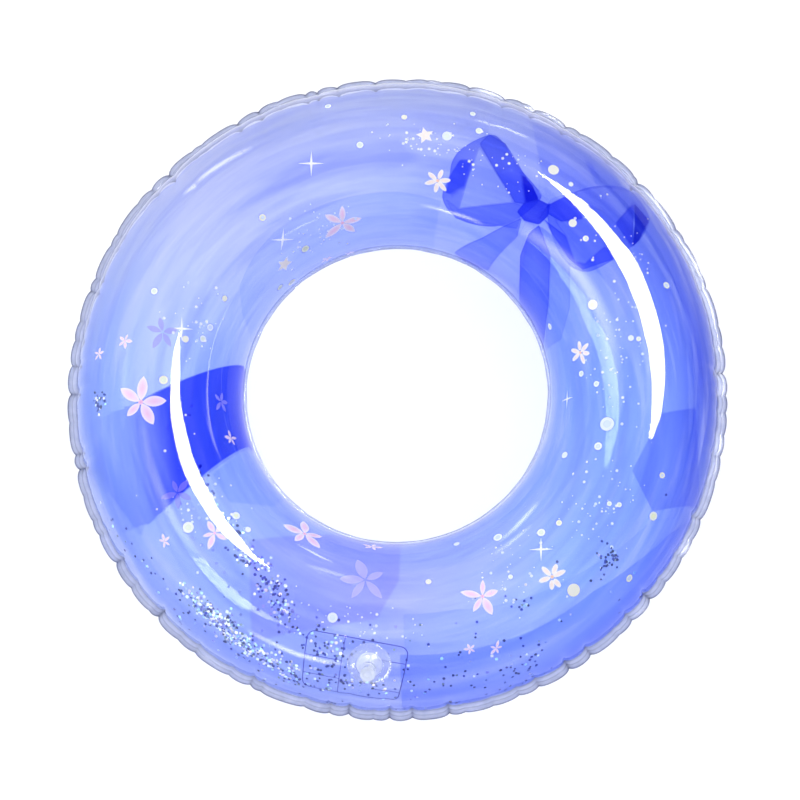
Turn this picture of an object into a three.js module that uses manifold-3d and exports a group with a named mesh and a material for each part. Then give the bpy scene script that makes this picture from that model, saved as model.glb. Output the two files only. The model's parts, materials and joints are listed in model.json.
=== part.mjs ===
// Glitter swim ring: two printed film sheets welded into an inflated ring, a push-in air valve with a
// tethered stopper, and loose foil flakes sealed inside. Millimetres, +Z up. The ring lies flat: its axis
// is Z, its underside is on z = 0, and the origin is under the middle of the ring.
import * as THREE from 'three';
import { mergeVertices } from 'three/addons/utils/BufferGeometryUtils.js';
import Module from 'manifold-3d';

const wasm = await Module();
wasm.setup();

// Driving dimensions of the inflated ring
const TUBE_CENTRE_R = 238; // ring axis to the middle of the tube
const TUBE_R = 84.5; // outside radius of the tube
const FILM = 0.35; // thickness of one sheet
const GAP = 0.3; // clearance between neighbouring pieces
const RING_SEGMENTS = 60;
const TUBE_STEPS = 13; // facets across one sheet; odd, so the lowest one is level
const TUBE_STEP = Math.PI / TUBE_STEPS;
const MID_Z = TUBE_R * Math.cos(TUBE_STEP / 2); // height of the seams

// Welded seams, both sheets fused into one thickness
const SEAM_T = 2 * FILM;
const SEAM_OVERLAP = 1.2; // how far a seam reaches into the tube
const OUTER_SEAM_IN = TUBE_CENTRE_R + TUBE_R - SEAM_OVERLAP;
const OUTER_SEAM_OUT = 330;
const LOBES = 80; // gathers of the outer seam
const LOBE_DEPTH = 1.3; // half the height of a gather
const STEPS_PER_LOBE = 4;
const INNER_SEAM_IN = 150.8;
const INNER_SEAM_OUT = TUBE_CENTRE_R - TUBE_R + SEAM_OVERLAP;

// Valve: heights are above the film, along the valve's own axis
const VALVE_AZIMUTH = THREE.MathUtils.degToRad(-95);
const VALVE_LEAN = THREE.MathUtils.degToRad(35.5); // outwards from the crown of the tube
const VALVE_HOLE_R = 11.5;
const FLANGE_R = 22;
const FLANGE_IN_R = 13.2;
const FLANGE_T = 0.9;
const EDGE_ROUND = 0.4; // softened edge of a moulded piece
const BELLOWS_ROOT_R = FLANGE_IN_R - GAP;
const BELLOWS_FOOT_WIDTH = 1.2;
const BELLOWS_BEAD = [[0, 1.7], [0.5, 2.5], [1.4, 2.4], [2.6, 3.5]]; // [in from the foot's rim, height]
const BELLOWS_NECK_OUTSIDE = [[2.2, 5.6], [1.1, 8]]; // [out from the neck's bore, height]
const BELLOWS_NECK_INSIDE = [[0.2, 8], [1.3, 5.2]];
const BELLOWS_FOOT_INSIDE = [[3.2, 2.9], [2, 1.7]]; // [in from the foot's rim, height]
const BELLOWS_TOP = 9.4;
const BELLOWS_WALL = 0.8;
const BELLOWS_SEAT_WIDTH = 1.5; // width of the foot that lies flat on the film
const STEM_R = 6.2;
const STEM_LIP_R = 7.2;
const STEM_BORE_R = 3.7;
const STEM_BOTTOM = 3;
const STEM_TOP = 21;
const STEM_LIP_T = 1.6;
const FLAP_R = 4.4;
const FLAP_T = 0.5;
const FLAP_TAB_LENGTH = 1.6;
const FLAP_TAB_WIDTH = 3;
const FLAP_TAB_REACH = 0.7; // beyond the flap's rim
const CAP_R = 7.6;
const CAP_T = 1.6;
const PLUG_LENGTH = 5;
const PLUG_TOP_R = 3.4;
const PLUG_TIP_R = 2.5;
const TAB_ROOT = 1.2; // how far a tab starts inside the cap's rim
const TAB_RISE = 0.2; // of a tab above the cap's underside
const CAP_HINGE_X = 9; // tether's bend, from the stem's axis
const HINGE_TAB_REACH = 0.6; // beyond the bend
const PULL_TAB_REACH = 3.4; // beyond the cap's rim
const PULL_TAB_WIDTH = 5.5;
const TAB_CURVE_SEGMENTS = 6;
const TETHER_ANGLE = THREE.MathUtils.degToRad(-20); // round the stem, from straight outwards
const TETHER_WIDTH = 4;
const TETHER_T = 1;
const COLLAR_Z = 12.5;
const COLLAR_HEIGHT = 2.4;
const COLLAR_T = 1.2;
const STRAP_ROOT = 0.5; // how far the strap starts inside the collar
const STRAP_LEVEL = 2.6; // distance it runs nearly level out of the collar
const STRAP_LEVEL_RISE = 0.6;
const STRAP_BOW = 3.3; // furthest reach of its bend, beyond its end at the cap
const STRAP_BOW_RISE = 1.6; // height of that bend above the middle of the stem
const STRAP_TURN = 2.6; // start of its turn inwards, beyond its end at the cap
const STRAP_TURN_DROP = 1.4; // height of that turn below its end
const STRAP_STEPS = 16;
const ROUND_SEGMENTS = 28;

// Foil flakes
const SEQUIN_COUNT = 24;
const SEQUIN_R = 1.7; // corner radius of the hexagon
const SEQUIN_T = 0.2;
const SEQUIN_DEPTH = 2.2; // below the outside of the film
const SEQUIN_FIRST = THREE.MathUtils.degToRad(-172);
const SEQUIN_LAST = THREE.MathUtils.degToRad(-112);
const SEQUIN_LEAN_FIRST = -18; // degrees from the crown of the tube, positive outwards
const SEQUIN_LEAN_LAST = 32;
const SEQUIN_SCATTER = 16; // degrees, across the drift

const filmMaterial = new THREE.MeshStandardMaterial({
  color: 0x7f93ff,
  roughness: 0.15,
  metalness: 0,
  transparent: true,
  opacity: 0.8,
});
const lowerFilmMaterial = filmMaterial.clone();
lowerFilmMaterial.color.set(0x6f86f4);
const clearMaterial = new THREE.MeshStandardMaterial({
  color: 0xd4d8ee,
  roughness: 0.2,
  metalness: 0,
  transparent: true,
  opacity: 0.6,
});
const frostedMaterial = new THREE.MeshStandardMaterial({
  color: 0xdfe6f2,
  roughness: 0.4,
  metalness: 0,
  transparent: true,
  opacity: 0.85,
});
const foilMaterial = new THREE.MeshStandardMaterial({ color: 0x6a74b8, roughness: 0.2, metalness: 0.9 });

// Closed ring about Z from profile points [radius, height], listed counter-clockwise
function revolve(points, segments) {
  const profile = points.map(([radius, height]) => new THREE.Vector2(radius, height));
  profile.push(profile[0].clone());
  return new THREE.LatheGeometry(profile, segments).rotateX(Math.PI / 2);
}

// Solid about Z from a profile that starts and ends on the axis
function revolveSolid(points, segments) {
  const profile = points.map(([radius, height]) => new THREE.Vector2(radius, height));
  return new THREE.LatheGeometry(profile, segments).rotateX(Math.PI / 2);
}

function moveVertices(geometry, move) {
  const position = geometry.attributes.position;
  const point = new THREE.Vector3();
  for (let i = 0; i < position.count; i += 1) {
    point.fromBufferAttribute(position, i);
    move(point);
    position.setXYZ(i, point.x, point.y, point.z);
  }
  return geometry;
}

function toSolid(geometry) {
  const bare = geometry.index ? geometry.toNonIndexed() : geometry.clone();
  bare.deleteAttribute('normal');
  bare.deleteAttribute('uv');
  const merged = mergeVertices(bare, 1e-4);
  const mesh = new wasm.Mesh({
    numProp: 3,
    vertProperties: new Float32Array(merged.attributes.position.array),
    triVerts: new Uint32Array(merged.index.array),
  });
  return new wasm.Manifold(mesh);
}

function toGeometry(solid) {
  const mesh = solid.getMesh();
  const geometry = new THREE.BufferGeometry();
  geometry.setAttribute('position', new THREE.BufferAttribute(new Float32Array(mesh.vertProperties), 3));
  geometry.setIndex(new THREE.BufferAttribute(new Uint32Array(mesh.triVerts), 1));
  geometry.computeVertexNormals();
  return geometry;
}

function part(name, geometry, material) {
  const mesh = new THREE.Mesh(geometry, material);
  mesh.name = name;
  return mesh;
}

// One sheet as half of a tube wall, from its inner edge over the crown to its outer edge.
// The edges stand clear of the welded seams.
function sheetProfile() {
  const edge = SEAM_T / 2 + GAP;
  const outside = [[TUBE_CENTRE_R - TUBE_R, edge]];
  const inside = [[TUBE_CENTRE_R - TUBE_R + FILM, edge]];
  for (let i = 1; i < TUBE_STEPS; i += 1) {
    const angle = Math.PI - i * TUBE_STEP;
    outside.push([TUBE_CENTRE_R + TUBE_R * Math.cos(angle), TUBE_R * Math.sin(angle)]);
    const inner = TUBE_R - FILM;
    inside.push([TUBE_CENTRE_R + inner * Math.cos(angle), inner * Math.sin(angle)]);
  }
  outside.push([TUBE_CENTRE_R + TUBE_R, edge]);
  inside.push([TUBE_CENTRE_R + TUBE_R - FILM, edge]);
  return [...inside, ...outside.reverse()];
}

function makeLowerSkin() {
  const profile = sheetProfile().map(([radius, height]) => [radius, MID_Z - height]);
  return part('lower_skin', revolve(profile.reverse(), RING_SEGMENTS), lowerFilmMaterial);
}

// Turns a shape from the valve's frame (film surface at z = 0) into the ring's frame
function valvePlacement() {
  const placement = new THREE.Matrix4().makeRotationZ(VALVE_AZIMUTH);
  placement.multiply(new THREE.Matrix4().makeTranslation(TUBE_CENTRE_R, 0, MID_Z));
  placement.multiply(new THREE.Matrix4().makeRotationY(VALVE_LEAN));
  placement.multiply(new THREE.Matrix4().makeTranslation(0, 0, TUBE_R));
  return placement;
}

function makeUpperSkin() {
  const profile = sheetProfile().map(([radius, height]) => [radius, MID_Z + height]);
  const sheet = revolve(profile, RING_SEGMENTS);
  const cutter = new THREE.CylinderGeometry(VALVE_HOLE_R, VALVE_HOLE_R, TUBE_R / 2, ROUND_SEGMENTS);
  cutter.rotateX(Math.PI / 2).applyMatrix4(valvePlacement());
  return part('upper_skin', toGeometry(toSolid(sheet).subtract(toSolid(cutter))), filmMaterial);
}

function seamProfile(inside, outside) {
  const low = MID_Z - SEAM_T / 2;
  const high = MID_Z + SEAM_T / 2;
  return [
    [inside, low],
    [outside, low],
    [outside, high],
    [inside, high],
  ];
}

// The outer seam is longer than the circle it lies on, so its edge gathers into rounded lobes
function makeOuterSeam() {
  const ring = revolve(seamProfile(OUTER_SEAM_IN, OUTER_SEAM_OUT), LOBES * STEPS_PER_LOBE);
  moveVertices(ring, (point) => {
    const radius = Math.hypot(point.x, point.y);
    if (radius > (OUTER_SEAM_IN + OUTER_SEAM_OUT) / 2) {
      const lobe = LOBE_DEPTH * Math.cos(LOBES * Math.atan2(point.y, point.x));
      point.x *= (radius + lobe) / radius;
      point.y *= (radius + lobe) / radius;
    }
  });
  return part('outer_weld_seam', ring, clearMaterial);
}

function makeInnerSeam() {
  const ring = revolve(seamProfile(INNER_SEAM_IN, INNER_SEAM_OUT), RING_SEGMENTS);
  return part('inner_weld_seam', ring, clearMaterial);
}

// How far the film falls away from the plane that touches it at the valve
function filmDrop(x, y) {
  const acrossTube = TUBE_R - Math.sqrt(TUBE_R * TUBE_R - x * x);
  const aroundRadius = TUBE_CENTRE_R / Math.sin(VALVE_LEAN) + TUBE_R;
  return acrossTube + (y * y) / (2 * aroundRadius);
}

function makeValveFlange() {
  const profile = [
    [FLANGE_IN_R, GAP],
    [FLANGE_R - EDGE_ROUND, GAP],
    [FLANGE_R, GAP + FLANGE_T / 2],
    [FLANGE_R - EDGE_ROUND, GAP + FLANGE_T],
    [FLANGE_IN_R, GAP + FLANGE_T],
  ];
  const disc = revolve(profile, 2 * ROUND_SEGMENTS);
  moveVertices(disc, (point) => {
    point.z -= filmDrop(point.x, point.y);
  });
  return part('valve_flange', disc, clearMaterial);
}

// Soft cone with a raised bead at its foot and a collar round the stem
function makeValveBellows() {
  const neck = STEM_R + GAP;
  const foot = BELLOWS_ROOT_R;
  const fromFoot = ([inwards, height]) => [foot - inwards, height];
  const fromNeck = ([outwards, height]) => [neck + outwards, height];
  const profile = [
    [foot - BELLOWS_FOOT_WIDTH, GAP],
    [foot, GAP],
    ...BELLOWS_BEAD.map(fromFoot),
    ...BELLOWS_NECK_OUTSIDE.map(fromNeck),
    [neck + BELLOWS_WALL, BELLOWS_TOP],
    [neck, BELLOWS_TOP],
    ...BELLOWS_NECK_INSIDE.map(fromNeck),
    ...BELLOWS_FOOT_INSIDE.map(fromFoot),
  ];
  const cone = revolve(profile, ROUND_SEGMENTS);
  moveVertices(cone, (point) => {
    const radius = Math.hypot(point.x, point.y);
    const follow = THREE.MathUtils.smoothstep(radius, neck, foot - BELLOWS_SEAT_WIDTH);
    point.z -= follow * filmDrop(point.x, point.y);
  });
  return part('valve_bellows', cone, frostedMaterial);
}

function makeValveStem() {
  const profile = [
    [STEM_BORE_R, STEM_BOTTOM],
    [STEM_R - EDGE_ROUND, STEM_BOTTOM],
    [STEM_R, STEM_BOTTOM + EDGE_ROUND],
    [STEM_R, STEM_TOP - STEM_LIP_T],
    [STEM_LIP_R, STEM_TOP - STEM_LIP_T + EDGE_ROUND],
    [STEM_LIP_R, STEM_TOP - EDGE_ROUND],
    [STEM_LIP_R - EDGE_ROUND, STEM_TOP],
    [STEM_BORE_R, STEM_TOP],
  ];
  return part('valve_stem', revolve(profile, ROUND_SEGMENTS), frostedMaterial);
}

// The flap hangs under the stem's inner end from a small tab at one side
function makeCheckFlap() {
  const top = STEM_BOTTOM - GAP;
  const disc = [
    [0, top - FLAP_T],
    [FLAP_R, top - FLAP_T],
    [FLAP_R, top],
    [0, top],
  ];
  const tab = new THREE.BoxGeometry(FLAP_TAB_LENGTH, FLAP_TAB_WIDTH, FLAP_T);
  tab.translate(FLAP_TAB_LENGTH / 2 - FLAP_TAB_REACH - FLAP_R, 0, top - FLAP_T / 2);
  const flap = toSolid(revolveSolid(disc, ROUND_SEGMENTS)).add(toSolid(tab));
  return part('valve_check_flap', toGeometry(flap), frostedMaterial);
}

function roundedTab(fromX, toX, width, bottom, height) {
  const half = width / 2;
  const outline = new THREE.Shape();
  outline.moveTo(fromX, -half);
  outline.lineTo(toX - half, -half);
  outline.absarc(toX - half, 0, half, -Math.PI / 2, Math.PI / 2, false);
  outline.lineTo(fromX, half);
  outline.closePath();
  const tab = new THREE.ExtrudeGeometry(outline, {
    depth: height,
    bevelEnabled: false,
    curveSegments: TAB_CURVE_SEGMENTS,
  });
  return tab.translate(0, 0, bottom);
}

function makeValveCap() {
  const bottom = STEM_TOP + GAP;
  const top = bottom + CAP_T;
  const profile = [
    [0, bottom - PLUG_LENGTH],
    [PLUG_TIP_R - EDGE_ROUND, bottom - PLUG_LENGTH],
    [PLUG_TIP_R, bottom - PLUG_LENGTH + EDGE_ROUND],
    [PLUG_TOP_R, bottom],
    [CAP_R - EDGE_ROUND, bottom],
    [CAP_R, bottom + EDGE_ROUND],
    [CAP_R, top - EDGE_ROUND],
    [CAP_R - EDGE_ROUND, top],
    [0, top],
  ];
  const root = CAP_R - TAB_ROOT;
  const hingeEnd = CAP_HINGE_X + HINGE_TAB_REACH;
  const hingeTab = roundedTab(root, hingeEnd, TETHER_WIDTH, bottom + TAB_RISE, TETHER_T);
  const pullTab = roundedTab(root, CAP_R + PULL_TAB_REACH, PULL_TAB_WIDTH, bottom + TAB_RISE, TETHER_T);
  pullTab.rotateZ(Math.PI);
  const cap = toSolid(revolveSolid(profile, ROUND_SEGMENTS))
    .add(toSolid(hingeTab))
    .add(toSolid(pullTab));
  return part('valve_cap', toGeometry(cap), frostedMaterial);
}

// Strap from a collar on the stem, out and up to the edge of the cap
function makeCapTether() {
  const inner = STEM_R + GAP;
  const outer = inner + COLLAR_T;
  const collar = revolve(
    [
      [inner, COLLAR_Z],
      [outer, COLLAR_Z],
      [outer, COLLAR_Z + COLLAR_HEIGHT],
      [inner, COLLAR_Z + COLLAR_HEIGHT],
    ],
    ROUND_SEGMENTS,
  );
  const collarMid = COLLAR_Z + COLLAR_HEIGHT / 2;
  const capEnd = CAP_HINGE_X + HINGE_TAB_REACH + GAP;
  const capEndZ = STEM_TOP + GAP + TAB_RISE + TETHER_T / 2;
  const route = new THREE.CatmullRomCurve3([
    new THREE.Vector3(outer - STRAP_ROOT, 0, collarMid),
    new THREE.Vector3(outer + STRAP_LEVEL, 0, collarMid + STRAP_LEVEL_RISE),
    new THREE.Vector3(capEnd + STRAP_BOW, 0, (COLLAR_Z + STEM_TOP) / 2 + STRAP_BOW_RISE),
    new THREE.Vector3(capEnd + STRAP_TURN, 0, capEndZ - STRAP_TURN_DROP),
    new THREE.Vector3(capEnd, 0, capEndZ),
  ]);
  const section = new THREE.Shape();
  section.moveTo(-TETHER_T / 2, -TETHER_WIDTH / 2);
  section.lineTo(TETHER_T / 2, -TETHER_WIDTH / 2);
  section.lineTo(TETHER_T / 2, TETHER_WIDTH / 2);
  section.lineTo(-TETHER_T / 2, TETHER_WIDTH / 2);
  section.closePath();
  const strap = new THREE.ExtrudeGeometry(section, {
    steps: STRAP_STEPS,
    bevelEnabled: false,
    extrudePath: route,
  });
  return part('cap_tether', toGeometry(toSolid(collar).add(toSolid(strap))), frostedMaterial);
}

function makeValve() {
  const valve = new THREE.Group();
  valve.applyMatrix4(valvePlacement());
  valve.add(makeValveFlange(), makeValveBellows(), makeValveStem(), makeCheckFlap());
  const tethered = new THREE.Group();
  tethered.rotation.z = TETHER_ANGLE;
  tethered.add(makeValveCap(), makeCapTether());
  valve.add(tethered);
  return valve;
}

// Flakes cling to the inside of the upper sheet, in a drift along one side of the ring
function makeSequins() {
  const random = mulberry32(7);
  const sequins = new THREE.Group();
  const drop = TUBE_R - SEQUIN_DEPTH;
  for (let i = 0; i < SEQUIN_COUNT; i += 1) {
    const share = i / (SEQUIN_COUNT - 1);
    const azimuth = SEQUIN_FIRST + share * (SEQUIN_LAST - SEQUIN_FIRST);
    const middle = SEQUIN_LEAN_FIRST + share * (SEQUIN_LEAN_LAST - SEQUIN_LEAN_FIRST);
    const lean = THREE.MathUtils.degToRad(middle + SEQUIN_SCATTER * (random() - 0.5));
    const flake = new THREE.CylinderGeometry(SEQUIN_R, SEQUIN_R, SEQUIN_T, 6).rotateX(Math.PI / 2);
    const mesh = part(`sequin_${String(i + 1).padStart(2, '0')}`, flake, foilMaterial);
    mesh.position.set(drop * Math.sin(lean), 0, drop * Math.cos(lean));
    mesh.rotation.y = lean;
    const spoke = new THREE.Group();
    spoke.rotation.z = azimuth;
    const tube = new THREE.Group();
    tube.position.set(TUBE_CENTRE_R, 0, MID_Z);
    tube.add(mesh);
    spoke.add(tube);
    sequins.add(spoke);
  }
  return sequins;
}

// Small seeded random number generator
function mulberry32(seed) {
  let state = seed;
  return () => {
    state = (state + 0x6d2b79f5) | 0;
    let value = Math.imul(state ^ (state >>> 15), 1 | state);
    value = (value + Math.imul(value ^ (value >>> 7), 61 | value)) ^ value;
    return ((value ^ (value >>> 14)) >>> 0) / 4294967296;
  };
}

const swimRing = new THREE.Group();
swimRing.add(makeUpperSkin(), makeLowerSkin(), makeOuterSeam(), makeInnerSeam());
swimRing.add(makeValve());
swimRing.add(makeSequins());

export default swimRing;
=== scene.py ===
"""Finished look of an inflated glitter swim ring: printed film, gathered weld seams, valve and foil flakes.

Places on the tube are given as (azimuth, lean) in degrees: azimuth round the ring from +X, and lean round
the tube from its crown, positive outwards. Lengths are millimetres until a mesh is made.
"""
import json
import math
import random
import bpy
import numpy as np
from mathutils import Matrix, Vector


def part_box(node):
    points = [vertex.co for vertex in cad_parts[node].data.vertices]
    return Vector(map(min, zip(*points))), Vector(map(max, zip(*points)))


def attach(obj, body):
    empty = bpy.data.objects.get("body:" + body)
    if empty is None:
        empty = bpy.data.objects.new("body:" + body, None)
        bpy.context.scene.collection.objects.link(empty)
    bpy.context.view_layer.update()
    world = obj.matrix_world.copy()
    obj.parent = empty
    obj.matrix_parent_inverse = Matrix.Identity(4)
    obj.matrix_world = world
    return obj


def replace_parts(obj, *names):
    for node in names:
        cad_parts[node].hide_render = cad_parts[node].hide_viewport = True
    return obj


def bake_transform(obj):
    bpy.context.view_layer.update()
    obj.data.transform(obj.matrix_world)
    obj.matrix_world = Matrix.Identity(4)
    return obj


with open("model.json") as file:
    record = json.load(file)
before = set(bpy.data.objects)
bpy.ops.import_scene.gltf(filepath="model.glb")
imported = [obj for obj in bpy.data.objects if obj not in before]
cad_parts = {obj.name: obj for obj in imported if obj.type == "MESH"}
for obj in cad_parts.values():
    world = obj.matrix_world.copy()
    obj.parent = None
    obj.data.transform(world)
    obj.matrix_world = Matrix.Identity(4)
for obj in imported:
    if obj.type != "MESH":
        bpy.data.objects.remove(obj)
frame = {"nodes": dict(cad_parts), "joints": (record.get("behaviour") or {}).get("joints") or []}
bpy.context.view_layer.update()

MM = 0.001


def box_mm(node):
    low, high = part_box(node)
    return np.array(low) / MM, np.array(high) / MM


# Sizes of the ring, from the frame
SEAM_OVERLAP = 1.2  # how far the welded seams reach into the tube
BAND_INSET = 1.3  # room for the lobes of the outer seam to bulge in
seam_low, seam_high = box_mm("outer_weld_seam")
MID_Z = (seam_low[2] + seam_high[2]) / 2
RIM_R = box_mm("upper_skin")[1][0]
HOLE_R = box_mm("inner_weld_seam")[1][0] - SEAM_OVERLAP
BAND_R = seam_high[0] - BAND_INSET
TUBE_R = (RIM_R - HOLE_R) / 2
CENTRE_R = (RIM_R + HOLE_R) / 2

# Gathers along the outer seam
LOBES = 80
STEPS_PER_LOBE = 14
CREASE_JITTER = 0.42  # as a share of the pitch
CREASE_STRENGTHS = (0.2, 0.35, 0.5, 0.7, 1.0)
CREASE_DEPTH = 4.8
CREASE_WIDTH = 3.6
CREASE_SPREAD = 0.13  # how fast a crease widens away from the seam
SHORT_REACH = 7
ADDED_REACH = 28  # for a crease of full strength
WAVE_HEIGHT = 2.4
NOTCH_DEPTH = 3.4
SEAM_FADE = 16
CLEAR_MARGIN = 8  # unprinted film beside the outer seam, along the film
MARGIN_WAVER = 1.5
MARGIN_DIP = 0.6  # how far the print reaches into a crease, as a share of its depth
MARGIN_BLUR = 1.2

# Finish of the film
FILM_GLOSS = 0.02  # mirror share straight on
FILM_ROUGHNESS = 0.035
MARGIN_TINT = (0.86, 0.88, 0.94, 1)
MARGIN_BODY = (0.8, 0.83, 0.93, 1)
MARGIN_OPACITY = 0.12
CLOUD_TINT = (0.95, 0.97, 0.84, 1)  # clouds of the print are held down by this, mostly in blue
WHITE = (1, 1, 1, 1)
PRINT_LIFT = 0.12  # how far printed motifs lie above the film


# ---------------------------------------------------------------- helpers
def linear(code):
    """Linear colour from a hexadecimal sRGB code."""
    parts = [int(code[i:i + 2], 16) / 255 for i in (0, 2, 4)]
    return np.array([c / 12.92 if c <= 0.04045 else ((c + 0.055) / 1.055) ** 2.4 for c in parts])


def opaque(code):
    return (*linear(code), 1.0)


def radians(*degrees):
    return [math.radians(d) for d in degrees]


def half_turn(angle):
    """The same angle from -pi to pi."""
    return (angle + np.pi) % (2 * np.pi) - np.pi


def eased(share):
    """Smooth step from 0 to 1."""
    return share * share * (3 - 2 * share)


def round_axis(radius, azimuth, z):
    """Points at a radius and an azimuth about the ring's axis."""
    return np.stack(np.broadcast_arrays(radius * np.cos(azimuth), radius * np.sin(azimuth), z), -1)


def turned(points, angle):
    """The same points turned in plan."""
    points = np.array(points, float)
    c, s = math.cos(angle), math.sin(angle)
    x, y = points[:, 0].copy(), points[:, 1].copy()
    points[:, 0] = c * x - s * y
    points[:, 1] = s * x + c * y
    return points


class Shader:
    """Small builder for the nodes of one material or world."""

    def __init__(self, name, kind="materials"):
        self.owner = getattr(bpy.data, kind).new(name)
        self.owner.use_nodes = True
        self.tree = self.owner.node_tree
        self.tree.nodes.clear()

    def node(self, kind, values=None, **settings):
        made = self.tree.nodes.new(kind)
        for key, value in settings.items():
            setattr(made, key, value)
        for key, value in (values or {}).items():
            if isinstance(value, bpy.types.NodeSocket):
                self.tree.links.new(value, made.inputs[key])
            else:
                made.inputs[key].default_value = value
        return made

    def attribute(self, name, output="Fac"):
        return self.node("ShaderNodeAttribute", attribute_name=name).outputs[output]

    def share(self, name):
        """Attribute held between 0 and 1."""
        return self.math("MULTIPLY", self.attribute(name), 1.0, clamp=True)

    def math(self, operation, *values, clamp=False):
        made = self.node("ShaderNodeMath", dict(enumerate(values)), operation=operation, use_clamp=clamp)
        return made.outputs[0]

    def ramp(self, value, low, high):
        """0 below low, 1 above high, eased between them."""
        values = {"Value": value, "From Min": low, "From Max": high}
        return self.node("ShaderNodeMapRange", values, interpolation_type="SMOOTHSTEP").outputs[0]

    def mix_colour(self, factor, first, second, blend="MIX"):
        values = {0: factor, 6: first, 7: second}
        return self.node("ShaderNodeMix", values, data_type="RGBA", blend_type=blend).outputs[2]

    def mix_shader(self, factor, first, second):
        return self.node("ShaderNodeMixShader", {0: factor, 1: first, 2: second}).outputs[0]

    def noise(self, scale, detail, place=None):
        """Noise over the object's own space, or over another place."""
        if place is None:
            place = self.node("ShaderNodeTexCoord").outputs["Object"]
        values = {"Vector": place, "Scale": scale, "Detail": detail}
        return self.node("ShaderNodeTexNoise", values).outputs["Fac"]

    def bump(self, height, strength, distance):
        values = {"Height": height, "Strength": strength, "Distance": distance}
        return self.node("ShaderNodeBump", values).outputs[0]

    def clear(self, tint):
        return self.node("ShaderNodeBsdfTransparent", {"Color": tint}).outputs[0]

    def lit(self, colour, roughness, through, specular=0.5):
        """Plastic body that lets a share of the light through."""
        values = {"Base Color": colour, "Roughness": roughness, "Specular IOR Level": specular}
        body = self.node("ShaderNodeBsdfPrincipled", values).outputs[0]
        translucent = self.node("ShaderNodeBsdfTranslucent", {"Color": colour}).outputs[0]
        return self.mix_shader(through, body, translucent)

    def gloss_over(self, under, straight_on, roughness, bumps=None):
        """Clear reflection over a shader, alike on both faces of a thin film (Schlick's rule)."""
        normal = {} if bumps is None else {"Normal": bumps}
        facing = self.node("ShaderNodeLayerWeight", {"Blend": 0.5, **normal}).outputs["Facing"]
        share = self.math("MULTIPLY_ADD", self.math("POWER", facing, 5.0), 1 - straight_on, straight_on)
        values = {"Color": WHITE, "Roughness": roughness, **normal}
        return self.mix_shader(share, under, self.node("ShaderNodeBsdfAnisotropic", values).outputs[0])

    def finish(self, surface, kind="ShaderNodeOutputMaterial"):
        self.node(kind, {"Surface": surface})
        return self.owner


def mesh_object(name, points, faces, material, body=None, smooth=True):
    """Object from points in millimetres; it rides on the body if one is given."""
    mesh = bpy.data.meshes.new(name)
    mesh.from_pydata((np.asarray(points, float).reshape(-1, 3) * MM).tolist(), [], faces)
    if smooth:
        mesh.shade_smooth()
    mesh.materials.append(material)
    made = bpy.data.objects.new(name, mesh)
    bpy.context.scene.collection.objects.link(made)
    if body:
        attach(made, body)
    return made


def set_numbers(made, name, values):
    attribute = made.data.attributes.new(name, "FLOAT", "POINT")
    attribute.data.foreach_set("value", np.asarray(values, np.float32).ravel())


def set_colours(made, name, colours):
    colours = np.asarray(colours, np.float32).reshape(-1, 3)
    full = np.ones((len(colours), 4), np.float32)
    full[:, :3] = colours
    attribute = made.data.attributes.new(name, "FLOAT_COLOR", "POINT")
    attribute.data.foreach_set("color", full.ravel())


def grid_faces(rows, columns, close_rows=True, close_columns=False, flip=False):
    """Quads over points laid out row by row."""
    faces = []
    for i in range(rows if close_rows else rows - 1):
        next_row = (i + 1) % rows
        for j in range(columns if close_columns else columns - 1):
            k = (j + 1) % columns
            face = (i * columns + j, next_row * columns + j, next_row * columns + k, i * columns + k)
            faces.append(face[::-1] if flip else face)
    return faces


# ---------------------------------------------------------------- shape of the film
def make_creases():
    """Places, depths and reaches of the gathers, and the wave and notches of the outer seam."""
    draw = random.Random(11)
    pitch = 2 * math.pi / LOBES
    places = [(i + draw.uniform(-CREASE_JITTER, CREASE_JITTER)) * pitch - math.pi for i in range(LOBES)]
    strengths = [draw.choice(CREASE_STRENGTHS) * draw.uniform(0.8, 1.15) for _ in range(LOBES)]
    depths = [CREASE_DEPTH * strength for strength in strengths]
    reaches = [SHORT_REACH + ADDED_REACH * strength * draw.uniform(0.6, 1.3) for strength in strengths]
    waves = [draw.uniform(-WAVE_HEIGHT, WAVE_HEIGHT) for _ in range(LOBES)]
    notches = [NOTCH_DEPTH * strength ** 1.5 for strength in strengths]
    return [np.array(values) for values in (places, depths, reaches, waves, notches)]


CREASES, CREASE_DEPTHS, CREASE_REACHES, SEAM_WAVES, NOTCHES = make_creases()
CREASE_STOPS = np.concatenate([CREASES, CREASES[:1] + 2 * np.pi])


def crease_gap(azimuth):
    """Distance along the rim from each place to each crease."""
    return np.abs(half_turn(np.asarray(azimuth)[..., None] - CREASES)) * RIM_R

def pucker(azimuth, distance):
    """How deep the gathers press the film in, at a distance along the film from the outer seam."""
    away = np.asarray(distance)[..., None]
    depth = CREASE_DEPTHS * np.exp(-away / CREASE_REACHES)
    return (depth * np.exp(-crease_gap(azimuth) / (CREASE_WIDTH + CREASE_SPREAD * away))).sum(-1)


def seam_wave(azimuth, heights=SEAM_WAVES):
    """Height of the outer seam above the ring's middle plane."""
    values = np.concatenate([heights, heights[:1]])
    place = (np.asarray(azimuth) - CREASES[0]) % (2 * np.pi) + CREASES[0]
    index = np.clip(np.searchsorted(CREASE_STOPS, place, side="right") - 1, 0, LOBES - 1)
    ease = eased((place - CREASE_STOPS[index]) / (CREASE_STOPS[index + 1] - CREASE_STOPS[index]))
    return values[index] * (1 - ease) + values[index + 1] * ease


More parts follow.
